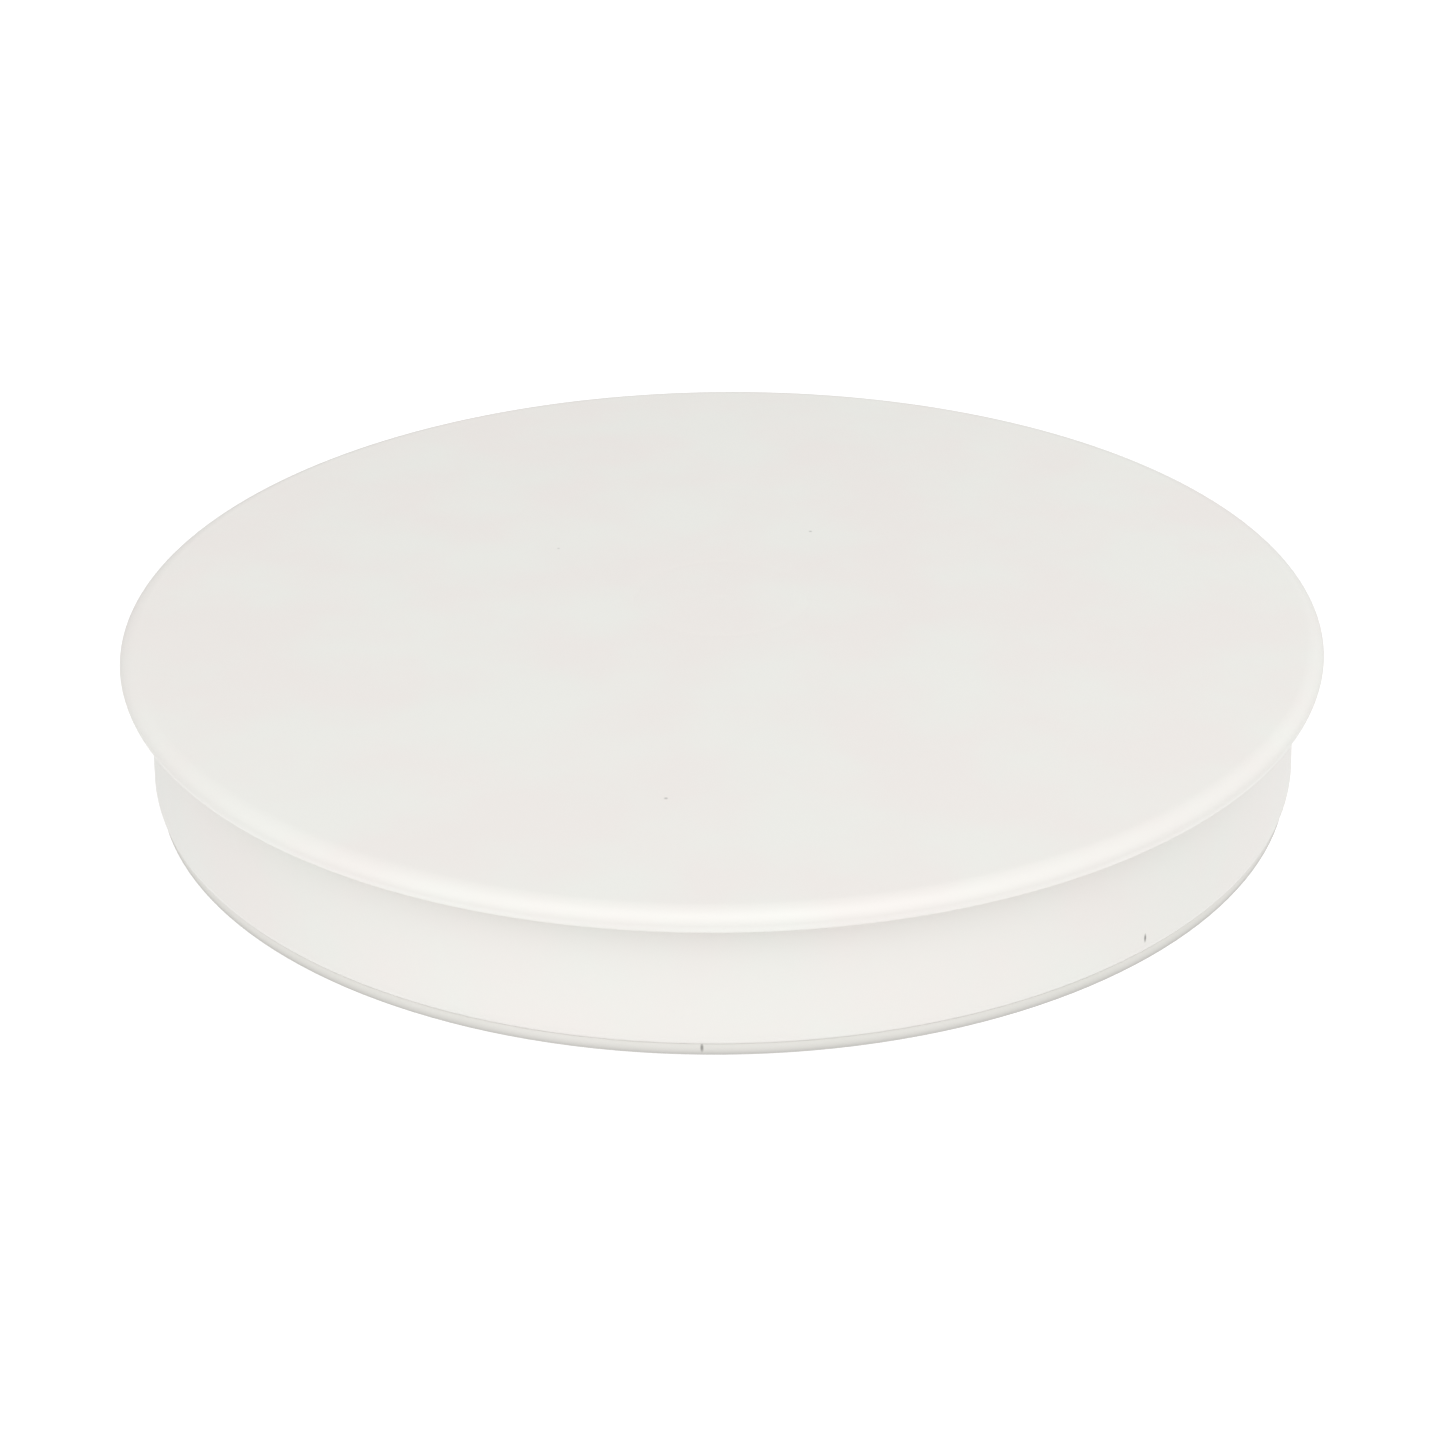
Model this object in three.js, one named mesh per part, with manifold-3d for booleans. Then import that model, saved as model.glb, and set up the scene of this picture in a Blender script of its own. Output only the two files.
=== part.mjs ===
// Lazy susan turntable in white moulded plastic, in millimetres, +Z up.
//
// A flat round disc with a thick rounded rim turns on a ring of caged steel balls.
// The balls run between a track under the disc and a track on the deck of a
// drum-shaped base. The disc's journal turns in two flanged bushes in the base's hub,
// and a screw and washer keep it there. A screwed plate with push-in rubber feet
// closes the drum from below.
//
// The origin is the centre of the plane that the feet stand on.

import * as THREE from "three";
import { mergeVertices } from "three/addons/utils/BufferGeometryUtils.js";
import Module from "manifold-3d";

const wasm = await Module();
wasm.setup();

// ---------------------------------------------------------------------------
// Driving dimensions
// ---------------------------------------------------------------------------

// Overall
const DISC_RADIUS = 150;
const TOTAL_HEIGHT = 40; // from the table to the disc's top face
const FOOT_PROUD = 1; // how far the feet hold the base plate off the table

// Clearances
const SEAT_GAP = 0.3; // between pieces that seat on each other
const DISC_RUN_GAP = 0.8; // between the disc's underside and the drum's top edge
const RIM_RUN_GAP = 2; // between the rim's hanging lip and the drum's wall
const RIB_RUN_GAP = 2; // between the ends of the disc's ribs and the drum's wall
const CAGE_RUN_GAP = 1; // between the cage and what turns over and under it
const POCKET_GAP = 0.4; // between a ball and its pocket in the cage
const JOURNAL_FLOAT = 0.8; // end float of the disc between bush and washer

// Disc
const DISC_THICKNESS = 3.2;
const RIM_HEIGHT = 5.8;
const RIM_WIDTH = 4.8; // radial thickness of the hanging lip
const RIM_TOP_ROUND = 4.5; // how far in from the edge the top begins to fall
const LIP_FILLET = 1.2; // inner lower edge of the lip
const DISC_RIB_THICKNESS = 1.8;
const DISC_RIB_COUNT = 12;
const DISC_HOOP_RADIUS = 108; // round stiffening rib under the disc

// Ball bearing
const BALL_RADIUS = 4;
const BALL_COUNT = 12;
const RACE_RADIUS = 72; // circle of the ball centres
const TRACK_WALL = 2.2; // material beside the groove
const TRACK_FLOOR = 1.6; // material behind the groove's deepest line
const CAGE_THICKNESS = 2.6;
const CAGE_WIDTH = 20;

// Drum
const WALL_THICKNESS = 2.6;
const WALL_DRAFT = 1.8; // how much wider the wall is at its foot than at its top
const DECK_THICKNESS = 2.6;
const DRUM_RIB_THICKNESS = 1.8;
const DRUM_RIB_COUNT = 12;
const HUB_WALL = 5.5;
const HUB_RISE = 2; // how far the hub stands above the deck

// Pivot
const JOURNAL_RADIUS = 6;
const BUSH_WALL = 1.9;
const BUSH_FLANGE_WIDTH = 3; // how far the flange reaches past the hub's bore
const BUSH_FLANGE_THICKNESS = 1.8;
const BUSH_SPLIT = 0.6; // gap between the two bushes' sleeves
const SHOULDER_STEP = 0.5; // how much smaller shoulder and washer are than the flanges
const WASHER_THICKNESS = 1.6;
const PIVOT_HEAD_RADIUS = 5;
const PIVOT_HEAD_HEIGHT = 2.8;
const PIVOT_HEAD_RECESS = 1.4; // from the base plate's outer face up to the screw head
const PIVOT_SHANK_RADIUS = 2.4;
const PIVOT_SHANK_LENGTH = 14;
const PILOT_SPARE = 1; // depth of a pilot hole past the screw's tip

// Base plate
const PLATE_THICKNESS = 3;
const PLATE_INSET = 0.9; // how far the plate's edge lies inside the drum's foot
const PLATE_CHAMFER = 0.6;
const SPIGOT_HEIGHT = 3; // ring that centres the plate in the drum
const SPIGOT_THICKNESS = 2;
const SPIGOT_GAP = 0.8; // to the drum's tapered inner wall
const PANEL_DEPTH = 0.8; // shallow ring panel in the plate's outer face
const PANEL_RIM = 10; // from the access hole to the panel
const PANEL_MARGIN = 4; // from the panel to the screw seats
const ACCESS_GAP = 3; // from the washer to the edge of the access hole

// Plate screws
const SCREW_COUNT = 6;
const SCREW_INSET = 24; // from the plate's edge to the screw circle
const SCREW_HEAD_RADIUS = 3.5;
const SCREW_HEAD_HEIGHT = 2.1;
const SCREW_HEAD_RECESS = 0.4; // from the plate's outer face up to the head
const SCREW_HEAD_GAP = 0.6; // around the head in its counterbore
const SCREW_SHANK_RADIUS = 1.6;
const SCREW_SHANK_LENGTH = 9;
const SCREW_SEAT_THICKNESS = 2;
const SCREW_SEAT_WALL = 2.4; // around the counterbore
const BOSS_WALL = 3;

// Feet
const FOOT_COUNT = 6;
const FOOT_INSET = 16; // from the plate's edge to the foot circle
const FOOT_RADIUS = 7;
const FOOT_CHAMFER = 0.6;
const FOOT_SOCKET_DEPTH = 1.6;
const FOOT_SOCKET_FLOOR = 2.4; // material that the foot's stem passes through
const FOOT_SOCKET_WALL = 2.2;
const FOOT_STEM_RADIUS = 2.4;
const FOOT_BARB_STEP = 1; // how much wider the barb is than the stem
const FOOT_BARB_HEIGHT = 2.6;
const FOOT_TIP_RADIUS = 1.4;

// Cross recess in a screw head: share of the head's radius, slot width and depth
const RECESS_REACH = 0.55;
const RECESS_SLOT = 0.24;
const RECESS_DEPTH = 0.5;

// Facets
const LARGE_SEGMENTS = 48;
const SMALL_SEGMENTS = 16;
const SCREW_SEGMENTS = 10;
const BALL_SEGMENTS = 10;
const BALL_RINGS = 6;
const ARC_STEPS = 4;
const WELD_DISTANCE = 1e-4; // vertices closer than this are one
const EMBED = 0.6; // how deep a rib runs into what it joins
const CUT_PAST = 1; // how far a cutting solid runs past the face it opens

// ---------------------------------------------------------------------------
// Levels, from the table up
// ---------------------------------------------------------------------------

const plateBottom = FOOT_PROUD;
const plateTop = plateBottom + PLATE_THICKNESS;
const drumFoot = plateTop + SEAT_GAP;
const discUnderside = TOTAL_HEIGHT - DISC_THICKNESS;
const drumRim = discUnderside - DISC_RUN_GAP;
const rimBottom = TOTAL_HEIGHT - RIM_HEIGHT;
const rimMiddle = TOTAL_HEIGHT - RIM_HEIGHT / 2;

const grooveRadius = BALL_RADIUS + SEAT_GAP;
const ballLevel = discUnderside - TRACK_FLOOR - grooveRadius;
const deckTop = ballLevel - grooveRadius - TRACK_FLOOR;
const deckUnderside = deckTop - DECK_THICKNESS;
const cageBottom = ballLevel - CAGE_THICKNESS / 2;
const cageTop = ballLevel + CAGE_THICKNESS / 2;
const lowerTrackTop = cageBottom - CAGE_RUN_GAP;
const upperTrackBottom = cageTop + CAGE_RUN_GAP;
const discRibBottom = cageTop + CAGE_RUN_GAP;

const pivotHeadBottom = plateBottom + PIVOT_HEAD_RECESS;
const washerBottom = pivotHeadBottom + PIVOT_HEAD_HEIGHT + SEAT_GAP;
const washerTop = washerBottom + WASHER_THICKNESS;
const journalEnd = washerTop + SEAT_GAP;
const lowerFlangeBottom = washerTop + JOURNAL_FLOAT;
const hubBottom = lowerFlangeBottom + BUSH_FLANGE_THICKNESS + SEAT_GAP;
const hubTop = deckTop + HUB_RISE;
const hubMiddle = (hubBottom + hubTop) / 2;
const upperFlangeBottom = hubTop + SEAT_GAP;
const upperFlangeTop = upperFlangeBottom + BUSH_FLANGE_THICKNESS;
const shoulderLevel = upperFlangeTop + SEAT_GAP;
const pivotPilotTop = pivotHeadBottom + PIVOT_HEAD_HEIGHT + PIVOT_SHANK_LENGTH + PILOT_SPARE;

const screwHeadBottom = plateBottom + SCREW_HEAD_RECESS;
const screwSeatBottom = screwHeadBottom + SCREW_HEAD_HEIGHT + SEAT_GAP;
const screwSeatTop = screwSeatBottom + SCREW_SEAT_THICKNESS;
const bossBottom = screwSeatTop + SEAT_GAP;
const bossPilotTop = screwHeadBottom + SCREW_HEAD_HEIGHT + SCREW_SHANK_LENGTH + PILOT_SPARE;

const socketCeiling = plateBottom + FOOT_SOCKET_DEPTH;
const socketTop = socketCeiling + FOOT_SOCKET_FLOOR;

// ---------------------------------------------------------------------------
// Radii, from the rim in and from the axis out
// ---------------------------------------------------------------------------

const lipInner = DISC_RADIUS - RIM_WIDTH;
const drumRimRadius = lipInner - RIM_RUN_GAP;
const drumFootRadius = drumRimRadius + WALL_DRAFT;
const drumRimInner = drumRimRadius - WALL_THICKNESS;
const drumFootInner = drumFootRadius - WALL_THICKNESS;
const plateRadius = drumFootRadius - PLATE_INSET;
const spigotOuter = drumFootInner - SPIGOT_GAP;
const screwCircle = plateRadius - SCREW_INSET;
const footCircle = plateRadius - FOOT_INSET;

const grooveHalfWidth = Math.sqrt(grooveRadius ** 2 - (ballLevel - lowerTrackTop) ** 2);
const trackInner = RACE_RADIUS - grooveHalfWidth - TRACK_WALL;
const trackOuter = RACE_RADIUS + grooveHalfWidth + TRACK_WALL;

const bushInner = JOURNAL_RADIUS + SEAT_GAP;
const bushOuter = bushInner + BUSH_WALL;
const hubBore = bushOuter + SEAT_GAP;
const hubRadius = hubBore + HUB_WALL;
const hubMiddleRadius = hubBore + HUB_WALL / 2; // where the deck ends inside the hub's wall
const bushFlangeRadius = hubBore + BUSH_FLANGE_WIDTH;
const shoulderRadius = bushFlangeRadius - SHOULDER_STEP;
const washerRadius = bushFlangeRadius - SHOULDER_STEP;
const pivotHoleRadius = PIVOT_SHANK_RADIUS + SEAT_GAP;
const accessRadius = washerRadius + ACCESS_GAP;

const screwHoleRadius = SCREW_SHANK_RADIUS + SEAT_GAP;
const counterboreRadius = SCREW_HEAD_RADIUS + SCREW_HEAD_GAP;
const screwSeatRadius = counterboreRadius + SCREW_SEAT_WALL;
const bossRadius = screwHoleRadius + BOSS_WALL;
const panelInner = accessRadius + PANEL_RIM;
const panelOuter = screwCircle - screwSeatRadius - PANEL_MARGIN;

const socketRadius = FOOT_RADIUS + SEAT_GAP;
const socketBossRadius = socketRadius + FOOT_SOCKET_WALL;
const stemHoleRadius = FOOT_STEM_RADIUS + SEAT_GAP;

/** Radius of the drum's tapered outer wall at a height. */
function wallRadius(height) {
  const share = (drumRim - height) / (drumRim - drumFoot);
  return drumRimRadius + WALL_DRAFT * share;
}

// ---------------------------------------------------------------------------
// Materials
// ---------------------------------------------------------------------------

const whitePlastic = new THREE.MeshStandardMaterial({ color: 0xece9e5, roughness: 0.38, metalness: 0 });
const basePlastic = new THREE.MeshStandardMaterial({ color: 0xeae8e3, roughness: 0.45, metalness: 0 });
const bearingPlastic = new THREE.MeshStandardMaterial({ color: 0xe6dfcc, roughness: 0.5, metalness: 0 });
const footRubber = new THREE.MeshStandardMaterial({ color: 0x8d8f92, roughness: 0.85, metalness: 0 });
const ballSteel = new THREE.MeshStandardMaterial({ color: 0xd6d9dc, roughness: 0.12, metalness: 1 });
const zincSteel = new THREE.MeshStandardMaterial({ color: 0xc3c8cd, roughness: 0.32, metalness: 1 });

// ---------------------------------------------------------------------------
// Solids
// ---------------------------------------------------------------------------

/** A closed geometry as a solid that can be joined and cut. */
function solidFrom(geometry) {
  geometry.deleteAttribute("normal");
  geometry.deleteAttribute("uv");
  const merged = mergeVertices(geometry, WELD_DISTANCE);
  const corners = merged.index.array;
  const triangles = [];
  for (let i = 0; i < corners.length; i += 3) {
    const [a, b, c] = [corners[i], corners[i + 1], corners[i + 2]];
    if (a !== b && b !== c && c !== a) triangles.push(a, b, c);
  }
  const vertProperties = Float32Array.from(merged.attributes.position.array);
  const triVerts = Uint32Array.from(triangles);
  return new wasm.Manifold(new wasm.Mesh({ numProp: 3, vertProperties, triVerts }));
}

/** Solid of revolution about an upright axis at x, y. The outline is a list of
 *  [radius, height] pairs, anticlockwise with radius to the right and height up.
 *  It closes on itself, or starts and ends on the axis. */
function turned(outline, segments, x = 0, y = 0) {
  const onAxis = outline[0][0] === 0;
  const closed = onAxis ? outline : [...outline, outline[0]];
  const points = closed.map(([radius, height]) => new THREE.Vector2(radius, height));
  const geometry = new THREE.LatheGeometry(points, segments);
  geometry.rotateX(Math.PI / 2);
  geometry.translate(x, y, 0);
  return solidFrom(geometry);
}

/** Upright cylinder between two heights. */
function upright(radius, low, high, segments, x = 0, y = 0) {
  const outline = [[0, low], [radius, low], [radius, high], [0, high]];
  return turned(outline, segments, x, y);
}

/** Radial rib between two radii and two heights, turned to an angle. */
function radialRib(inner, outer, low, high, thickness, angle) {
  const geometry = new THREE.BoxGeometry(outer - inner, thickness, high - low);
  geometry.translate((inner + outer) / 2, 0, (low + high) / 2);
  geometry.rotateZ(angle);
  return solidFrom(geometry);
}

/** Points of an elliptical arc in an outline, from one angle to another. */
function arc(centreRadius, centreHeight, reachOut, reachUp, from, to) {
  const points = [];
  for (let step = 0; step <= ARC_STEPS; step += 1) {
    const angle = from + ((to - from) * step) / ARC_STEPS;
    points.push([
      centreRadius + reachOut * Math.cos(angle),
      centreHeight + reachUp * Math.sin(angle),
    ]);
  }
  return points;
}

/** Evenly spaced places on a circle, the first one turned by an offset. */
function placesOnCircle(count, radius, offset = 0) {
  return Array.from({ length: count }, (_, index) => {
    const angle = offset + (index * 2 * Math.PI) / count;
    return { angle, x: radius * Math.cos(angle), y: radius * Math.sin(angle) };
  });
}

function joined(solids) {
  return solids.reduce((whole, solid) => whole.add(solid));
}

function cut(whole, tools) {
  return whole.subtract(joined(tools));
}

function meshFrom(name, solid, material) {
  const { vertProperties, triVerts } = solid.getMesh();
  const geometry = new THREE.BufferGeometry();
  geometry.setAttribute("position", new THREE.BufferAttribute(vertProperties, 3));
  geometry.setIndex(new THREE.BufferAttribute(triVerts, 1));
  geometry.computeVertexNormals();
  const mesh = new THREE.Mesh(geometry, material);
  mesh.name = name;
  return mesh;
}

// Ribs stand between the plate screws and the feet, so nothing below meets them.
const screwPlaces = placesOnCircle(SCREW_COUNT, screwCircle);
const footPlaces = placesOnCircle(FOOT_COUNT, footCircle, Math.PI / FOOT_COUNT);
const ballPlaces = placesOnCircle(BALL_COUNT, RACE_RADIUS);
const drumRibPlaces = placesOnCircle(DRUM_RIB_COUNT, 1, Math.PI / DRUM_RIB_COUNT);
const discRibPlaces = placesOnCircle(DISC_RIB_COUNT, 1);

// ---------------------------------------------------------------------------
// Turning disc
// ---------------------------------------------------------------------------

/** Outline of the rim, from the lip's inner face round to the flat top. */
function rimOutline() {
  const half = RIM_HEIGHT / 2;
  const innerFillet = arc(
    lipInner + LIP_FILLET, rimBottom + LIP_FILLET, LIP_FILLET, LIP_FILLET, Math.PI, 1.5 * Math.PI,
  );
  const lowerRound = arc(DISC_RADIUS - half, rimMiddle, half, half, -Math.PI / 2, 0);
  const topFall = arc(DISC_RADIUS - RIM_TOP_ROUND, rimMiddle, RIM_TOP_ROUND, half, 0, Math.PI / 2);
  return [[lipInner, discUnderside], ...innerFillet, ...lowerRound, ...topFall.slice(1)];
}

/** Ball groove that opens downwards, from its inner edge to its outer edge. */
function upperGroove() {
  const tilt = Math.asin((ballLevel - upperTrackBottom) / grooveRadius);
  return arc(RACE_RADIUS, ballLevel, grooveRadius, grooveRadius, Math.PI + tilt, -tilt);
}

function turntableDisc() {
  const body = turned([
    [0, discUnderside],
    [trackInner, discUnderside],
    [trackInner, upperTrackBottom],
    ...upperGroove(),
    [trackOuter, upperTrackBottom],
    [trackOuter, discUnderside],
    ...rimOutline(),
    [0, TOTAL_HEIGHT],
  ], LARGE_SEGMENTS);
  const journal = turned([
    [0, pivotPilotTop],
    [pivotHoleRadius, pivotPilotTop],
    [pivotHoleRadius, journalEnd],
    [JOURNAL_RADIUS, journalEnd],
    [JOURNAL_RADIUS, shoulderLevel],
    [shoulderRadius, shoulderLevel],
    [shoulderRadius, discUnderside + EMBED],
    [0, discUnderside + EMBED],
  ], SMALL_SEGMENTS);
  const ribTop = discUnderside + EMBED;
  const outerEnd = drumRimInner - RIB_RUN_GAP;
  const ribs = discRibPlaces.flatMap(({ angle }) => [
    radialRib(shoulderRadius / 2, trackInner + EMBED, discRibBottom, ribTop, DISC_RIB_THICKNESS, angle),
    radialRib(trackOuter - EMBED, outerEnd, discRibBottom, ribTop, DISC_RIB_THICKNESS, angle),
  ]);
  const hoop = turned([
    [DISC_HOOP_RADIUS - DISC_RIB_THICKNESS / 2, discRibBottom],
    [DISC_HOOP_RADIUS + DISC_RIB_THICKNESS / 2, discRibBottom],
    [DISC_HOOP_RADIUS + DISC_RIB_THICKNESS / 2, ribTop],
    [DISC_HOOP_RADIUS - DISC_RIB_THICKNESS / 2, ribTop],
  ], LARGE_SEGMENTS);
  return joined([body, journal, hoop, ...ribs]);
}

// ---------------------------------------------------------------------------
// Ball bearing
// ---------------------------------------------------------------------------

function ballCage() {
  const inner = RACE_RADIUS - CAGE_WIDTH / 2;
  const outer = RACE_RADIUS + CAGE_WIDTH / 2;
  const ring = turned([
    [inner, cageBottom],
    [outer, cageBottom],
    [outer, cageTop],
    [inner, cageTop],
  ], LARGE_SEGMENTS);
  const pockets = ballPlaces.map(({ x, y }) =>
    upright(BALL_RADIUS + POCKET_GAP, cageBottom - CUT_PAST, cageTop + CUT_PAST, SMALL_SEGMENTS, x, y),
  );
  return cut(ring, pockets);
}

/** One ball at its own centre. */
function ball() {
  return solidFrom(new THREE.SphereGeometry(BALL_RADIUS, BALL_SEGMENTS, BALL_RINGS));
}

// ---------------------------------------------------------------------------
// Drum
// ---------------------------------------------------------------------------

/** Ball groove that opens upwards, from its outer edge to its inner edge. */
function lowerGroove() {
  const tilt = Math.asin((ballLevel - lowerTrackTop) / grooveRadius);
  return arc(RACE_RADIUS, ballLevel, grooveRadius, grooveRadius, -tilt, tilt - Math.PI);
}

function baseDrum() {
  const shell = turned([
    [drumFootInner, drumFoot],
    [drumFootRadius, drumFoot],
    [drumRimRadius, drumRim],
    [drumRimInner, drumRim],
    [wallRadius(deckTop) - WALL_THICKNESS, deckTop],
    [trackOuter, deckTop],
    [trackOuter, lowerTrackTop],
    ...lowerGroove(),
    [trackInner, lowerTrackTop],
    [trackInner, deckTop],
    [hubMiddleRadius, deckTop],
    [hubMiddleRadius, deckUnderside],
    [wallRadius(deckUnderside) - WALL_THICKNESS, deckUnderside],
  ], LARGE_SEGMENTS);
  const hub = turned([
    [hubBore, hubBottom],
    [hubRadius, hubBottom],
    [hubRadius, hubTop],
    [hubBore, hubTop],
  ], SMALL_SEGMENTS);
  const ribTop = deckUnderside + EMBED;
  const hoop = turned([
    [RACE_RADIUS - DRUM_RIB_THICKNESS / 2, hubBottom],
    [RACE_RADIUS + DRUM_RIB_THICKNESS / 2, hubBottom],
    [RACE_RADIUS + DRUM_RIB_THICKNESS / 2, ribTop],
    [RACE_RADIUS - DRUM_RIB_THICKNESS / 2, ribTop],
  ], LARGE_SEGMENTS);
  const ribs = drumRibPlaces.map(({ angle }) =>
    radialRib(hubMiddleRadius, drumFootInner + EMBED, hubBottom, ribTop, DRUM_RIB_THICKNESS, angle),
  );
  const bosses = screwPlaces.map(({ x, y }) =>
    upright(bossRadius, bossBottom, ribTop, SMALL_SEGMENTS, x, y),
  );
  const pilots = screwPlaces.map(({ x, y }) =>
    upright(screwHoleRadius, bossBottom - CUT_PAST, bossPilotTop, SCREW_SEGMENTS, x, y),
  );
  return cut(joined([shell, hub, hoop, ...ribs, ...bosses]), pilots);
}

// ---------------------------------------------------------------------------
// Pivot
// ---------------------------------------------------------------------------

/** Upper flanged bush: the sleeve hangs in the hub, the flange lies on it. */
function upperBush() {
  const sleeveEnd = hubMiddle + BUSH_SPLIT / 2;
  return turned([
    [bushInner, sleeveEnd],
    [bushOuter, sleeveEnd],
    [bushOuter, upperFlangeBottom],
    [bushFlangeRadius, upperFlangeBottom],
    [bushFlangeRadius, upperFlangeTop],
    [bushInner, upperFlangeTop],
  ], SMALL_SEGMENTS);
}

/** Lower flanged bush: the same piece, pushed in from below. */
function lowerBush() {
  const sleeveEnd = hubMiddle - BUSH_SPLIT / 2;
  const flangeTop = lowerFlangeBottom + BUSH_FLANGE_THICKNESS;
  return turned([
    [bushInner, lowerFlangeBottom],
    [bushFlangeRadius, lowerFlangeBottom],
    [bushFlangeRadius, flangeTop],
    [bushOuter, flangeTop],
    [bushOuter, sleeveEnd],
    [bushInner, sleeveEnd],
  ], SMALL_SEGMENTS);
}

function pivotWasher() {
  return turned([
    [pivotHoleRadius, washerBottom],
    [washerRadius, washerBottom],
    [washerRadius, washerTop],
    [pivotHoleRadius, washerTop],
  ], SMALL_SEGMENTS);
}

/** Pan-head screw with a cross recess, head down, its lowest point at height 0. */
function panHeadScrew(headRadius, headHeight, shankRadius, shankLength, segments) {
  const tipTaper = shankRadius / 2;
  const headRound = headHeight / 2;
  const tip = headHeight + shankLength;
  const body = turned([
    [0, 0],
    [headRadius - headRound, 0],
    [headRadius, headRound],
    [headRadius, headHeight],
    [shankRadius, headHeight],
    [shankRadius, tip - tipTaper],
    [shankRadius - tipTaper, tip],
    [0, tip],
  ], segments);
  const reach = 2 * headRadius * RECESS_REACH;
  const slots = [0, Math.PI / 2].map((angle) =>
    radialRib(-reach / 2, reach / 2, -CUT_PAST, headHeight * RECESS_DEPTH, headRadius * RECESS_SLOT, angle),
  );
  return cut(body, slots);
}

// ---------------------------------------------------------------------------
// Base plate and feet
// ---------------------------------------------------------------------------

function basePlate() {
  const disc = turned([
    [accessRadius, plateBottom],
    [panelInner, plateBottom],
    [panelInner, plateBottom + PANEL_DEPTH],
    [panelOuter, plateBottom + PANEL_DEPTH],
    [panelOuter, plateBottom],
    [plateRadius - PLATE_CHAMFER, plateBottom],
    [plateRadius, plateBottom + PLATE_CHAMFER],
    [plateRadius, plateTop],
    [spigotOuter, plateTop],
    [spigotOuter, plateTop + SPIGOT_HEIGHT],
    [spigotOuter - SPIGOT_THICKNESS, plateTop + SPIGOT_HEIGHT],
    [spigotOuter - SPIGOT_THICKNESS, plateTop],
    [accessRadius, plateTop],
  ], LARGE_SEGMENTS);
  const below = plateBottom - CUT_PAST;
  const seats = screwPlaces.map(({ x, y }) =>
    upright(screwSeatRadius, plateTop - EMBED, screwSeatTop, SMALL_SEGMENTS, x, y),
  );
  const sockets = footPlaces.map(({ x, y }) =>
    upright(socketBossRadius, plateTop - EMBED, socketTop, SMALL_SEGMENTS, x, y),
  );
  const screwHoles = screwPlaces.flatMap(({ x, y }) => [
    upright(counterboreRadius, below, screwSeatBottom, SMALL_SEGMENTS, x, y),
    upright(screwHoleRadius, below, screwSeatTop + CUT_PAST, SCREW_SEGMENTS, x, y),
  ]);
  const footHoles = footPlaces.flatMap(({ x, y }) => [
    upright(socketRadius, below, socketCeiling, SMALL_SEGMENTS, x, y),
    upright(stemHoleRadius, below, socketTop + CUT_PAST, SCREW_SEGMENTS, x, y),
  ]);
  return cut(joined([disc, ...seats, ...sockets]), [...screwHoles, ...footHoles]);
}

/** Push-in rubber foot: a pad, a stem and a barb that snaps through the plate. */
function foot() {
  const padTop = socketCeiling - SEAT_GAP;
  const barbBottom = socketTop + SEAT_GAP;
  return turned([
    [0, 0],
    [FOOT_RADIUS - FOOT_CHAMFER, 0],
    [FOOT_RADIUS, FOOT_CHAMFER],
    [FOOT_RADIUS, padTop],
    [FOOT_STEM_RADIUS, padTop],
    [FOOT_STEM_RADIUS, barbBottom],
    [FOOT_STEM_RADIUS + FOOT_BARB_STEP, barbBottom],
    [FOOT_TIP_RADIUS, barbBottom + FOOT_BARB_HEIGHT],
    [0, barbBottom + FOOT_BARB_HEIGHT],
  ], SMALL_SEGMENTS);
}

// ---------------------------------------------------------------------------
// Assembly
// ---------------------------------------------------------------------------

const turntable = new THREE.Group();

const turning = new THREE.Group();
turning.add(meshFrom("turntable_disc", turntableDisc(), whitePlastic));
turning.add(meshFrom("pivot_washer", pivotWasher(), zincSteel));
const pivotScrew = meshFrom(
  "pivot_screw",
  panHeadScrew(PIVOT_HEAD_RADIUS, PIVOT_HEAD_HEIGHT, PIVOT_SHANK_RADIUS, PIVOT_SHANK_LENGTH, SMALL_SEGMENTS),
  zincSteel,
);
pivotScrew.position.z = pivotHeadBottom;
turning.add(pivotScrew);
turntable.add(turning);

const bearing = new THREE.Group();
bearing.add(meshFrom("ball_cage", ballCage(), bearingPlastic));
ballPlaces.forEach(({ x, y }, index) => {
  const number = String(index + 1).padStart(2, "0");
  const mesh = meshFrom(`ball_${number}`, ball(), ballSteel);
  mesh.position.set(x, y, ballLevel);
  bearing.add(mesh);
});
turntable.add(bearing);

const base = new THREE.Group();
base.add(meshFrom("base_drum", baseDrum(), whitePlastic));
base.add(meshFrom("upper_bush", upperBush(), bearingPlastic));
base.add(meshFrom("lower_bush", lowerBush(), bearingPlastic));
base.add(meshFrom("base_plate", basePlate(), basePlastic));
screwPlaces.forEach(({ x, y, angle }, index) => {
  const screw = panHeadScrew(
    SCREW_HEAD_RADIUS, SCREW_HEAD_HEIGHT, SCREW_SHANK_RADIUS, SCREW_SHANK_LENGTH, SCREW_SEGMENTS,
  );
  const mesh = meshFrom(`plate_screw_${index + 1}`, screw, zincSteel);
  mesh.position.set(x, y, screwHeadBottom);
  mesh.rotation.z = angle;
  base.add(mesh);
});
footPlaces.forEach(({ x, y }, index) => {
  const mesh = meshFrom(`foot_${index + 1}`, foot(), footRubber);
  mesh.position.set(x, y, 0);
  base.add(mesh);
});
turntable.add(base);

export default turntable;
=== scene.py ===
"""Lazy susan turntable in white moulded plastic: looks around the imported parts.

A flat round disc with a thick rounded rim turns on caged steel balls over a drum-shaped
base. Sizes here are in millimetres and are turned to metres where a mesh is made.
"""

import math

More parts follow.
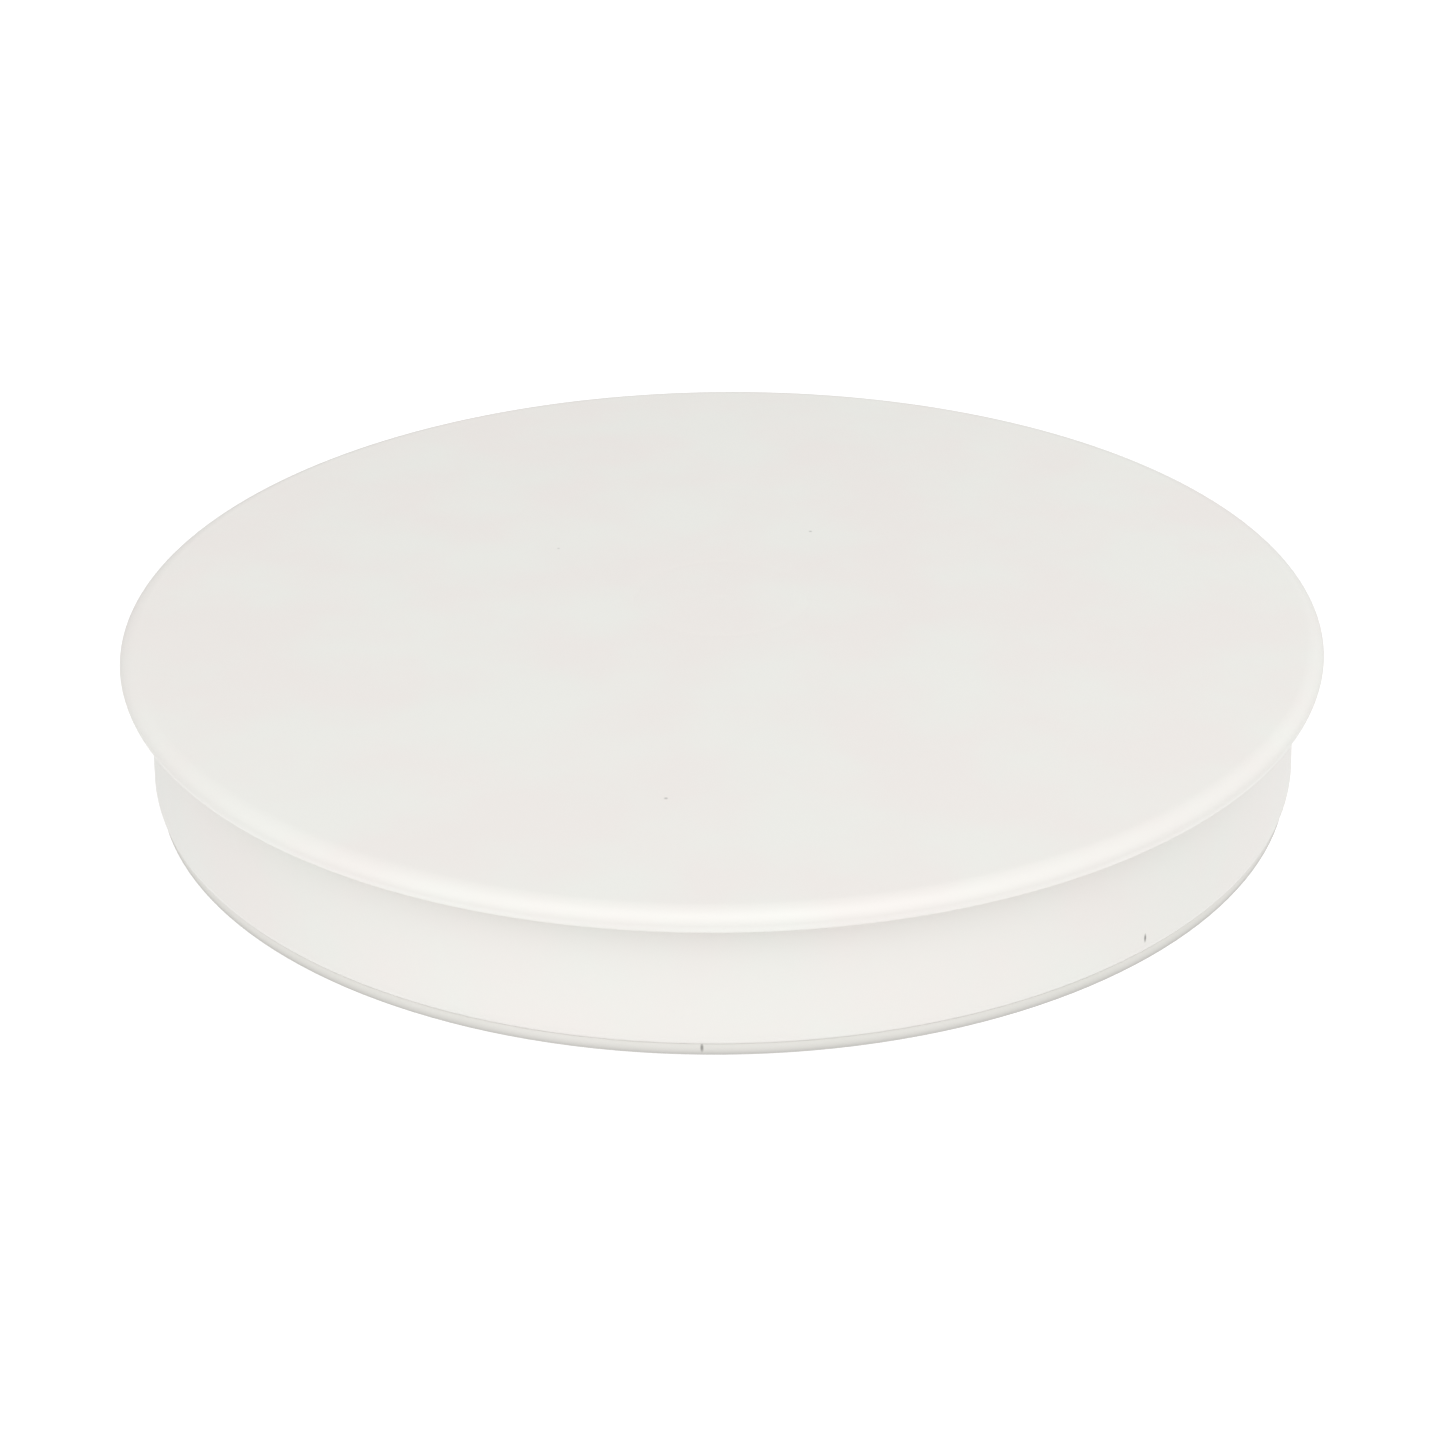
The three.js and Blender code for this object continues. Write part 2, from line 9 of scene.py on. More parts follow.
import bmesh
import bpy
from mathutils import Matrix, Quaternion, Vector


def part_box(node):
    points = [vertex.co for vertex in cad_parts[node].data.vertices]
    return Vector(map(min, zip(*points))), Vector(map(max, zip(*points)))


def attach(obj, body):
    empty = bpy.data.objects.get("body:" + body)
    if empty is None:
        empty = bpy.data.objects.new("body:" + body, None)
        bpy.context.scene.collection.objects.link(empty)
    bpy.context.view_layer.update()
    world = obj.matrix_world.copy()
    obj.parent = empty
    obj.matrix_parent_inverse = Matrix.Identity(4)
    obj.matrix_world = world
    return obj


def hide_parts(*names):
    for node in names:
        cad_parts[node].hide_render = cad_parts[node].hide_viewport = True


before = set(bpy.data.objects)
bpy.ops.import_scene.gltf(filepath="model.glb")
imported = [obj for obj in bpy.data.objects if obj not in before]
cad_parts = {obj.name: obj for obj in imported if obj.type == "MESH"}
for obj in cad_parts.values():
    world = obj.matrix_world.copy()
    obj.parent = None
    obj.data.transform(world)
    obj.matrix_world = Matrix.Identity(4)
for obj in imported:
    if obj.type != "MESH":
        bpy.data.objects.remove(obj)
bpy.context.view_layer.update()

MM = 0.001
scene = bpy.context.scene

# ---------------------------------------------------------------------------
# Sizes in millimetres
# ---------------------------------------------------------------------------


def round_size(node):
    """Radius, lowest and highest level of a round part that is centred on the axis."""
    low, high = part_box(node)
    return high.x / MM, low.z / MM, high.z / MM


def place_of(node):
    """Distance from the axis, angle, lowest and highest level of a part that stands off it."""
    low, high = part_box(node)
    middle = (low + high) / 2
    return math.hypot(middle.x, middle.y) / MM, math.atan2(middle.y, middle.x), low.z / MM, high.z / MM


DISC_RADIUS, JOURNAL_END, DISC_TOP = round_size("turntable_disc")
DRUM_FOOT_RADIUS, DRUM_FOOT, DRUM_RIM = round_size("base_drum")
PLATE_RADIUS, PLATE_BOTTOM, SPIGOT_TOP = round_size("base_plate")
CAGE_OUTER, CAGE_BOTTOM, CAGE_TOP = round_size("ball_cage")
FLANGE_RADIUS, SLEEVE_END_ABOVE, FLANGE_TOP = round_size("upper_bush")
_, FLANGE_BOTTOM, SLEEVE_END_BELOW = round_size("lower_bush")
WASHER_RADIUS, WASHER_BOTTOM, WASHER_TOP = round_size("pivot_washer")
_, PIVOT_HEAD_BOTTOM, PIVOT_TIP = round_size("pivot_screw")
SCREW_CIRCLE, SCREW_ANGLE, SCREW_BOTTOM, SCREW_TIP = place_of("plate_screw_1")
FOOT_CIRCLE, FOOT_ANGLE, FOOT_BOTTOM, FOOT_TIP = place_of("foot_1")
RACE_RADIUS = place_of("ball_01")[0]
BALL_LEVEL = (CAGE_BOTTOM + CAGE_TOP) / 2

# Disc
DISC_THICKNESS = 3.2
RIM_HEIGHT = 5.8
RIM_WIDTH = 4.8
RIM_TOP_ROUND = 4.5
LIP_FILLET = 1.2
DISC_RIBS = 12
DISC_RIB_INNER_END = 5.5
DISC_RIB_OUTER_END = 138.6
DISC_HOOP_RADIUS = 108.0
SHOULDER_RADIUS = 11.0
SHOULDER_LEVEL = 29.4
JOURNAL_RADIUS = 6.0
JOURNAL_PILOT_TOP = 20.2
PARTING_STEP = 0.04
CENTRING_RING_RADIUS = 22.0
CENTRING_RING_WIDTH = 2.0
CENTRING_RING_DEPTH = 0.03
CENTRE_DIMPLE_RADIUS = 1.6
CENTRE_DIMPLE_DEPTH = 0.05

# Ball bearing
BALL_RADIUS = 4.0
BALLS = 12
GROOVE_RADIUS = 4.3
TRACK_WALL = 2.2
TRACK_RUN_GAP = 1.0
CAGE_WIDTH = 20.0
POCKET_RADIUS = 4.4
COLLAR_RADIUS = 5.7
COLLAR_RISE = 0.5
COLLAR_DRAFT = 0.2
POCKET_LEAD_IN = 0.3

# Drum
WALL = 2.6
WALL_DRAFT = 1.8
DECK_TOP = 25.0
DECK_THICKNESS = 2.6
RIB_THICKNESS = 1.8
RIB_DRAFT = 0.3
DRUM_RIBS = 12
HUB_BORE = 8.5
HUB_RADIUS = 14.0
HUB_BOTTOM = 10.0
HUB_TOP = 27.0
BOSS_RADIUS = 4.9
BOSS_BOTTOM = 6.1
BOSS_PILOT_RADIUS = 1.9
BOSS_PILOT_TOP = 13.5
FOOT_ROUND = 2.9  # the wall's foot rolls in to meet the edge of the plate
SEAT_PLAY = 0.05  # what is left between the drum's foot and the plate

# Bushes, washer and screws
BUSH_BORE = 6.3
SLEEVE_RADIUS = 8.2
FLANGE_THICKNESS = 1.8
PIVOT_HOLE = 2.7
PIVOT_HEAD_RADIUS = 5.0
PIVOT_HEAD_HEIGHT = 2.8
PIVOT_SHANK_RADIUS = 2.4
PIVOT_PITCH = 1.8
SCREW_HEAD_RADIUS = 3.5
SCREW_HEAD_HEIGHT = 2.1
SCREW_SHANK_RADIUS = 1.6
SCREW_PITCH = 1.3
SCREWS = 6
THREAD_FLANK = 0.32  # share of the pitch over which a thread falls from its crest
THREAD_DEPTH = 0.22  # share of the shank's radius
THREAD_START = 0.6  # plain neck between a screw's head and its thread
RUNGS_PER_TURN = 8  # rows of the shank's mesh to one turn of the thread

# Base plate
PLATE_TOP = 4.0
ACCESS_RADIUS = 14.0
PANEL_INNER = 24.0
PANEL_OUTER = 109.6
PANEL_LEVEL = 1.8
PANEL_SLOPE = 0.3
SPIGOT_OUTER = 141.6
SPIGOT_INNER = 139.6
SEAT_RADIUS = 6.5
SEAT_TOP = 5.8
COUNTERBORE_RADIUS = 4.1
COUNTERBORE_TOP = 3.8
SOCKET_RADIUS = 7.3
SOCKET_CEILING = 2.6
SOCKET_BOSS_RADIUS = 9.5
SOCKET_TOP = 5.0
STEM_HOLE = 2.7
EJECTOR_MARK_RADIUS = 4.0
EJECTOR_MARK_DEPTH = 0.12
EJECTOR_MARK_CIRCLE = 66.0

# Feet
FEET = 6
FOOT_RADIUS = 7.0
FOOT_PAD_TOP = 2.3
FOOT_STEM_RADIUS = 2.4
FOOT_BARB_RADIUS = 3.4
FOOT_BARB_BOTTOM = 5.3
FOOT_TIP_RADIUS = 1.4
FOOT_RINGS = (2.0, 4.4)  # inner radius of each groove pressed into the pad
FOOT_RING_DEPTH = 0.35
FOOT_RING_WIDTH = 1.1
FOOT_RING_SLOPE = 0.2

# Shared
EMBED = 0.6  # how deep a rib or boss runs into what it joins
STAND_BACK = 0.2  # keeps two joined faces from lying in one plane
MERGE = 1e-6  # metres
FINE_TURNS = 192
SMALL_TURNS = 64
BOSS_TURNS = 48
HOLE_TURNS = 32
FILLET_STEPS = 5
TIP_FILLET = 0.35  # at the thin tip of a rib
CUT_PAST = 1.0  # how far a cutter reaches past what it cuts
SMOOTH_ANGLE = math.radians(32)

DISC_UNDERSIDE = DISC_TOP - DISC_THICKNESS
RIM_BOTTOM = DISC_TOP - RIM_HEIGHT
RIM_MIDDLE = DISC_TOP - RIM_HEIGHT / 2
LIP_INNER = DISC_RADIUS - RIM_WIDTH
LOWER_TRACK_TOP = CAGE_BOTTOM - TRACK_RUN_GAP
UPPER_TRACK_BOTTOM = CAGE_TOP + TRACK_RUN_GAP
DECK_UNDERSIDE = DECK_TOP - DECK_THICKNESS
GROOVE_TILT = math.asin((UPPER_TRACK_BOTTOM - BALL_LEVEL) / GROOVE_RADIUS)
TRACK_INNER = RACE_RADIUS - GROOVE_RADIUS * math.cos(GROOVE_TILT) - TRACK_WALL
TRACK_OUTER = RACE_RADIUS + GROOVE_RADIUS * math.cos(GROOVE_TILT) + TRACK_WALL


def wall_inner(level):
    """Radius of the drum's tapered inner wall at a level."""
    share = (DRUM_RIM - level) / (DRUM_RIM - DRUM_FOOT)
    return DRUM_FOOT_RADIUS - WALL_DRAFT * (1 - share) - WALL


# ---------------------------------------------------------------------------
# Outlines: lists of (radius, level) in millimetres
# ---------------------------------------------------------------------------


def arc(centre, reach, start, end, steps=10):
    """Points of an elliptical arc. Reach is its half width and half height, angles are in degrees."""
    points = []
    for step in range(steps + 1):
        angle = math.radians(start + (end - start) * step / steps)
        points.append((centre[0] + reach[0] * math.cos(angle), centre[1] + reach[1] * math.sin(angle)))
    return points


def rounded(corners, closed=True):
    """An outline whose corners given as (radius, level, fillet) are rounded off."""
    points = []
    count = len(corners)
    for index, corner in enumerate(corners):
        at = Vector(corner[:2])
        at_end = not closed and index in (0, count - 1)
        if len(corner) < 3 or at_end:
            points.append(tuple(at))
            continue
        fillet = corner[2]
        back = (Vector(corners[index - 1][:2]) - at).normalized()
        ahead = (Vector(corners[(index + 1) % count][:2]) - at).normalized()
        half = back.angle(ahead) / 2
        centre = at + (back + ahead).normalized() * (fillet / math.sin(half))
        first = at + back * (fillet / math.tan(half)) - centre
        last = at + ahead * (fillet / math.tan(half)) - centre
        for step in range(FILLET_STEPS + 1):
            share = step / FILLET_STEPS
            swing = math.pi - 2 * half
            weight_first = math.sin((1 - share) * swing) / math.sin(swing)
            weight_last = math.sin(share * swing) / math.sin(swing)
            points.append(tuple(centre + first * weight_first + last * weight_last))
    return points


def mouth(radius, face, edge):
    """The flared mouth of a hole that opens downwards through a face, with a rounded edge."""
    start = (radius + edge, face - CUT_PAST)
    return [start] + arc((radius + edge, face + edge), (edge, edge), -97, -180, 4)


# ---------------------------------------------------------------------------
# Node trees
# ---------------------------------------------------------------------------


def add(tree, kind, inputs=None, **settings):
    """Adds a node, sets its properties, and fills its inputs with values or other nodes' outputs."""
    made = tree.nodes.new(kind)
    for name, value in settings.items():
        setattr(made, name, value)
    for key, value in (inputs or {}).items():
        if isinstance(value, bpy.types.NodeSocket):
            tree.links.new(value, made.inputs[key])
        else:
            made.inputs[key].default_value = value
    return made


def shape_tree(name, inputs):
    """A geometry tree with one geometry in and out. Its other inputs are {name: (socket kind, value)}."""
    tree = bpy.data.node_groups.new(name, "GeometryNodeTree")
    tree.interface.new_socket("Geometry", in_out="INPUT", socket_type="NodeSocketGeometry")
    for label, (kind, value) in inputs.items():
        socket = tree.interface.new_socket(label, in_out="INPUT", socket_type=kind)
        if value is not None:
            socket.default_value = value
    tree.interface.new_socket("Geometry", in_out="OUTPUT", socket_type="NodeSocketGeometry")
    return tree, add(tree, "NodeGroupInput").outputs


def close_tree(tree, geometry, material):
    """Ends a tree: instances made real, the material set, the result handed out."""
    real = add(tree, "GeometryNodeRealizeInstances", {"Geometry": geometry}).outputs[0]
    painted = add(tree, "GeometryNodeSetMaterial", {"Geometry": real, "Material": material}).outputs[0]
    add(tree, "NodeGroupOutput", {0: painted})
    return tree


def turning_tree():
    """Turns an outline mesh about the upright axis, as on a lathe."""
    tree, given = shape_tree("Turned from an outline", {
        "Turns": ("NodeSocketInt", FINE_TURNS),
        "Closed": ("NodeSocketInt", 1),
        "Weld": ("NodeSocketFloat", MERGE),
        "Material": ("NodeSocketMaterial", None),
    })
    counted = add(tree, "GeometryNodeAttributeDomainSize", {0: given["Geometry"]}, component="MESH")
    size = counted.outputs[0]
    columns = add(tree, "ShaderNodeMath", {0: size, 1: given["Closed"]}, operation="ADD").outputs[0]
    rows = add(tree, "ShaderNodeMath", {0: given["Turns"], 1: 1}, operation="ADD").outputs[0]
    grid = add(tree, "GeometryNodeMeshGrid", {"Vertices X": columns, "Vertices Y": rows}).outputs[0]
    index = add(tree, "GeometryNodeInputIndex").outputs[0]
    exact = add(tree, "ShaderNodeMath", {0: index, 1: rows}, operation="DIVIDE").outputs[0]
    column = add(tree, "ShaderNodeMath", {0: exact}, operation="FLOOR").outputs[0]
    row = add(tree, "ShaderNodeMath", {0: index, 1: rows}, operation="MODULO").outputs[0]
    corner = add(tree, "ShaderNodeMath", {0: column, 1: size}, operation="MODULO").outputs[0]
    position = add(tree, "GeometryNodeInputPosition").outputs[0]
    outline = add(
        tree, "GeometryNodeSampleIndex",
        {"Geometry": given["Geometry"], "Value": position, "Index": corner},
        data_type="FLOAT_VECTOR", domain="POINT",
    ).outputs[0]
    share = add(tree, "ShaderNodeMath", {0: row, 1: given["Turns"]}, operation="DIVIDE").outputs[0]
    angle = add(tree, "ShaderNodeMath", {0: share, 1: 2 * math.pi}, operation="MULTIPLY").outputs[0]
    turned = add(
        tree, "ShaderNodeVectorRotate", {"Vector": outline, "Angle": angle}, rotation_type="Z_AXIS",
    ).outputs[0]
    placed = add(tree, "GeometryNodeSetPosition", {"Geometry": grid, "Position": turned}).outputs[0]
    welded = add(
        tree, "GeometryNodeMergeByDistance", {"Geometry": placed, "Distance": given["Weld"]},
    ).outputs[0]
    return close_tree(tree, welded, given["Material"])


def ring_tree():
    """Sets copies of a shape round the axis, each turned to face outwards."""
    tree, given = shape_tree("Ring of copies", {
        "Count": ("NodeSocketInt", 6),
        "Radius": ("NodeSocketFloat", 0.0),
        "First angle": ("NodeSocketFloat", 0.0),
        "Material": ("NodeSocketMaterial", None),
    })
    index = add(tree, "GeometryNodeInputIndex").outputs[0]
    share = add(tree, "ShaderNodeMath", {0: index, 1: given["Count"]}, operation="DIVIDE").outputs[0]
    angle = add(
        tree, "ShaderNodeMath", {0: share, 1: 2 * math.pi, 2: given["First angle"]},
        operation="MULTIPLY_ADD",
    ).outputs[0]
    outwards = add(tree, "ShaderNodeCombineXYZ", {"X": given["Radius"]}).outputs[0]
    place = add(
        tree, "ShaderNodeVectorRotate", {"Vector": outwards, "Angle": angle}, rotation_type="Z_AXIS",
    ).outputs[0]
    points = add(tree, "GeometryNodePoints", {"Count": given["Count"], "Position": place}).outputs[0]
    turn = add(tree, "ShaderNodeCombineXYZ", {"Z": angle}).outputs[0]
    rotation = add(tree, "FunctionNodeEulerToRotation", {0: turn}).outputs[0]
    copies = add(
        tree, "GeometryNodeInstanceOnPoints",
        {"Points": points, "Instance": given["Geometry"], "Rotation": rotation},
    ).outputs[0]
    return close_tree(tree, copies, given["Material"])


def thread_tree():
    """Cuts a helical thread into a turned shank: the crest keeps the shank's radius."""
    tree, given = shape_tree("Rolled thread", {
        "Pitch": ("NodeSocketFloat", 0.001),
        "Depth": ("NodeSocketFloat", 0.0004),
        "Start": ("NodeSocketFloat", 0.0),
        "End": ("NodeSocketFloat", 0.01),
        "Material": ("NodeSocketMaterial", None),
    })
    position = add(tree, "GeometryNodeInputPosition").outputs[0]
    x, y, z = add(tree, "ShaderNodeSeparateXYZ", {0: position}).outputs
    angle = add(tree, "ShaderNodeMath", {0: y, 1: x}, operation="ARCTAN2").outputs[0]
    turn = add(tree, "ShaderNodeMath", {0: angle, 1: 2 * math.pi}, operation="DIVIDE").outputs[0]
    climb = add(tree, "ShaderNodeMath", {0: z, 1: given["Pitch"]}, operation="DIVIDE").outputs[0]
    wound = add(tree, "ShaderNodeMath", {0: climb, 1: turn}, operation="SUBTRACT").outputs[0]
    wave = add(tree, "ShaderNodeMath", {0: wound, 1: 0.5}, operation="PINGPONG").outputs[0]
    flank = add(
        tree, "ShaderNodeMapRange", {0: wave, 1: 0.0, 2: THREAD_FLANK, 3: 0.0, 4: 1.0},
    ).outputs[0]
    start, end, pitch = given["Start"], given["End"], given["Pitch"]
    grown_in = add(tree, "ShaderNodeMath", {0: start, 1: pitch}, operation="ADD").outputs[0]
    faded_out = add(tree, "ShaderNodeMath", {0: end, 1: pitch}, operation="SUBTRACT").outputs[0]
    rise = add(
        tree, "ShaderNodeMapRange", {0: z, 1: start, 2: grown_in, 3: 0.0, 4: 1.0},
        interpolation_type="SMOOTHSTEP",
    ).outputs[0]
    fall = add(
        tree, "ShaderNodeMapRange", {0: z, 1: faded_out, 2: end, 3: 1.0, 4: 0.0},
        interpolation_type="SMOOTHSTEP",
    ).outputs[0]
    there = add(tree, "ShaderNodeMath", {0: rise, 1: fall}, operation="MULTIPLY").outputs[0]
    depth = add(tree, "ShaderNodeMath", {0: flank, 1: given["Depth"]}, operation="MULTIPLY").outputs[0]
    inwards = add(tree, "ShaderNodeMath", {0: depth, 1: there}, operation="MULTIPLY").outputs[0]
    flat = add(tree, "ShaderNodeCombineXYZ", {"X": x, "Y": y}).outputs[0]
    outwards = add(tree, "ShaderNodeVectorMath", {0: flat}, operation="NORMALIZE").outputs[0]
    away = add(tree, "ShaderNodeMath", {0: inwards, 1: -1.0}, operation="MULTIPLY").outputs[0]
    offset = add(
        tree, "ShaderNodeVectorMath", {0: outwards, "Scale": away}, operation="SCALE",
    ).outputs[0]
    moved = add(
        tree, "GeometryNodeSetPosition", {"Geometry": given["Geometry"], "Offset": offset},
    ).outputs[0]
    return close_tree(tree, moved, given["Material"])


TURNING = turning_tree()
RING = ring_tree()
THREAD = thread_tree()


# ---------------------------------------------------------------------------
# Shapes
# ---------------------------------------------------------------------------


def as_plain(host, name):
    """The evaluated shape of an object as a plain object. The host is removed."""
    bpy.context.view_layer.update()
    evaluated = host.evaluated_get(bpy.context.evaluated_depsgraph_get())
    mesh = bpy.data.meshes.new_from_object(evaluated)
    bpy.data.objects.remove(host)
    mesh.name = name
    plain = bpy.data.objects.new(name, mesh)
    scene.collection.objects.link(plain)
    return plain


def faced_outwards(shape):
    """Turns the faces of a closed shape outwards."""
    work = bmesh.new()
    work.from_mesh(shape.data)
    bmesh.ops.recalc_face_normals(work, faces=work.faces)
    work.to_mesh(shape.data)
    work.free()
    return shape


def grown(name, mesh, tree, values):
    """Runs a node tree on a mesh, with its inputs given by their names."""
    host = bpy.data.objects.new(name + "_source", mesh)
    scene.collection.objects.link(host)
    modifier = host.modifiers.new(tree.name, "NODES")
    modifier.node_group = tree
    for item in tree.interface.items_tree:
        if item.in_out == "INPUT" and item.name in values:
            modifier[item.identifier] = values[item.name]
    return as_plain(host, name)


def turned(name, outline, material, turns=SMALL_TURNS, closed=True):
    """A solid of revolution. An outline that isn't closed starts and ends on the axis."""
    mesh = bpy.data.meshes.new(name)
    mesh.from_pydata([(radius * MM, 0, level * MM) for radius, level in outline], [], [])
    values = {"Turns": turns, "Closed": int(closed), "Material": material}
    return faced_outwards(grown(name, mesh, TURNING, values))


def ring_of(shape, count, radius, first_angle, material):
    """Copies of a shape round the axis, as one object. The shape is used up."""
    mesh = shape.data
    name = shape.name
    bpy.data.objects.remove(shape)
    values = {"Count": count, "Radius": radius * MM, "First angle": first_angle, "Material": material}
    return grown(name, mesh, RING, values)


def bar(name, section, start, end):
    """A straight bar along X. The section is a list of (across, level)."""
    count = len(section)
    points = [(x * MM, across * MM, level * MM) for x in (start, end) for across, level in section]
    faces = [(i, (i + 1) % count, (i + 1) % count + count, i + count) for i in range(count)]
    faces += [tuple(range(count - 1, -1, -1)), tuple(range(count, 2 * count))]
    mesh = bpy.data.meshes.new(name)
    mesh.from_pydata(points, [], faces)
    shape = bpy.data.objects.new(name, mesh)
    scene.collection.objects.link(shape)
    return faced_outwards(shape)


def combined(shape, tools, operation):
    """Joins tools to a shape or cuts them out of it. The tools are used up."""
    name = shape.name
    for tool in tools:
        modifier = shape.modifiers.new(tool.name, "BOOLEAN")
        modifier.object = tool
        modifier.operation = operation
        modifier.solver = "MANIFOLD"
    result = as_plain(shape, name + "_" + operation.lower())
    for tool in tools:
        bpy.data.objects.remove(tool)
    result.name = name
    return result


def rib_section(bottom, top):
    """Section of a moulded rib, thinner at its tip, with the tip's edges rounded."""
    foot = RIB_THICKNESS / 2
    tip = foot - RIB_DRAFT / 2
    return rounded([(-foot, top), (-tip, bottom, TIP_FILLET), (tip, bottom, TIP_FILLET), (foot, top)])


def finished(shape, name, body, nodes, material):
    """The last steps on a piece: clean mesh, one material, smooth shading, its place in the frame."""
    mesh = shape.data
    work = bmesh.new()
    work.from_mesh(mesh)
    bmesh.ops.remove_doubles(work, verts=work.verts, dist=MERGE)
    bmesh.ops.dissolve_degenerate(work, edges=work.edges, dist=MERGE)
    bmesh.ops.recalc_face_normals(work, faces=work.faces)
    for face in work.faces:
        face.smooth = True
        face.material_index = 0
    work.to_mesh(mesh)
    work.free()
    mesh.materials.clear()
    mesh.materials.append(material)
    mesh.set_sharp_from_angle(angle=SMOOTH_ANGLE)
    shading = shape.modifiers.new("even shading", "WEIGHTED_NORMAL")
    shading.keep_sharp = True
    piece = as_plain(shape, name)
    piece.name = name
    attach(piece, body)
    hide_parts(*nodes)
    return piece


# ---------------------------------------------------------------------------
# Materials
# ---------------------------------------------------------------------------


def linear(hex_colour):
    """A colour written as sRGB hex, turned to linear."""
    channels = [int(hex_colour[i:i + 2], 16) / 255 for i in (1, 3, 5)]
    return tuple(c / 12.92 if c <= 0.04045 else ((c + 0.055) / 1.055) ** 2.4 for c in channels) + (1.0,)


def per_metre(size_mm):
    """Texture scale for a pattern whose grains are this far apart."""
    return 1 / (size_mm * MM)


def new_material(name, **sockets):
    """A material with its shader's own sockets set."""
    material = bpy.data.materials.new(name)
    material.use_nodes = True
    shader = material.node_tree.nodes["Principled BSDF"]
    for label, value in sockets.items():
        shader.inputs[label.replace("_", " ")].default_value = value
    return material, material.node_tree, shader


def mottled(tree, shader, where, colours, size_mm, contrast):
    """Base colour that drifts softly between two tones, as pigment does in a moulding."""
    scale = per_metre(size_mm)
    drift = add(tree, "ShaderNodeTexNoise", {"Vector": where, "Scale": scale, "Detail": 3.0}).outputs[0]
    spread = add(
        tree, "ShaderNodeMapRange", {0: drift, 1: 0.5 - contrast, 2: 0.5 + contrast, 3: 0.0, 4: 1.0},
    ).outputs[0]
    mix = add(tree, "ShaderNodeMix", {0: spread}, data_type="RGBA")
    for socket, colour in zip((socket for socket in mix.inputs if socket.type == "RGBA"), colours):
        socket.default_value = linear(colour)
    result = next(socket for socket in mix.outputs if socket.type == "RGBA")
    tree.links.new(result, shader.inputs["Base Color"])
    return result


def varied_roughness(tree, shader, where, low, high, size_mm):
    """Gloss that changes a little from place to place."""
    scale = per_metre(size_mm)
    patch = add(tree, "ShaderNodeTexNoise", {"Vector": where, "Scale": scale, "Detail": 4.0}).outputs[0]
    level = add(tree, "ShaderNodeMapRange", {0: patch, 1: 0.3, 2: 0.7, 3: low, 4: high}).outputs[0]
    tree.links.new(level, shader.inputs["Roughness"])


def relief(tree, shader, where, layers):
    """Surface relief from noise layers, each given as (grain in mm, height in mm)."""
    normal = None
    for size_mm, height_mm in layers:
        scale = per_metre(size_mm)
        grain = add(tree, "ShaderNodeTexNoise", {"Vector": where, "Scale": scale, "Detail": 2.0}).outputs[0]
        inputs = {"Height": grain, "Strength": 1.0, "Distance": height_mm * MM}
        if normal is not None:
            inputs["Normal"] = normal
        normal = add(tree, "ShaderNodeBump", inputs).outputs[0]
    tree.links.new(normal, shader.inputs["Normal"])


def blended(tree, amount, base, colour):
    """Lays a colour over a base tone, by an amount from 0 to 1."""
    mix = add(tree, "ShaderNodeMix", {0: amount}, data_type="RGBA")
    below, over = [socket for socket in mix.inputs if socket.type == "RGBA"]
    tree.links.new(base, below)
    over.default_value = linear(colour)
    return next(socket for socket in mix.outputs if socket.type == "RGBA")


def darkened_near(tree, reach, tone, strength):
    """A dark mark: full strength at its middle, gone where the reach from its middle comes to 1."""
    dark = add(tree, "ShaderNodeMapRange", {0: reach, 1: 0.3, 2: 1.0, 3: strength, 4: 0.0}).outputs[0]
    return blended(tree, dark, tone, MARK_COLOUR)


def specked(tree, where, tone, spacing_mm, speck_mm, strength):
    """A few dust specks. They are small balls at random in space, and the surface cuts only some."""
    cells = add(tree, "ShaderNodeTexVoronoi", {"Vector": where, "Scale": per_metre(spacing_mm)})
    grow = spacing_mm / speck_mm
    apart = cells.outputs["Distance"]
    reach = add(tree, "ShaderNodeMath", {0: apart, 1: grow}, operation="MULTIPLY").outputs[0]
    return darkened_near(tree, reach, tone, strength)


def scuffed(tree, where, tone, radius, degrees, level, strength):
    """One short upright scuff, at a radius and a level in millimetres and an angle round the axis."""
    turn = math.radians(degrees)
    centre = Vector((radius * math.cos(turn), radius * math.sin(turn), level)) * MM
    apart = add(tree, "ShaderNodeVectorMath", {0: where, 1: centre}, operation="SUBTRACT").outputs[0]
    share = add(
        tree, "ShaderNodeVectorMath", {0: apart, 1: SCUFF_HALF_SIZE}, operation="DIVIDE",
    ).outputs[0]
    reach = add(tree, "ShaderNodeVectorMath", {0: share}, operation="LENGTH").outputs["Value"]
    return darkened_near(tree, reach, tone, strength)


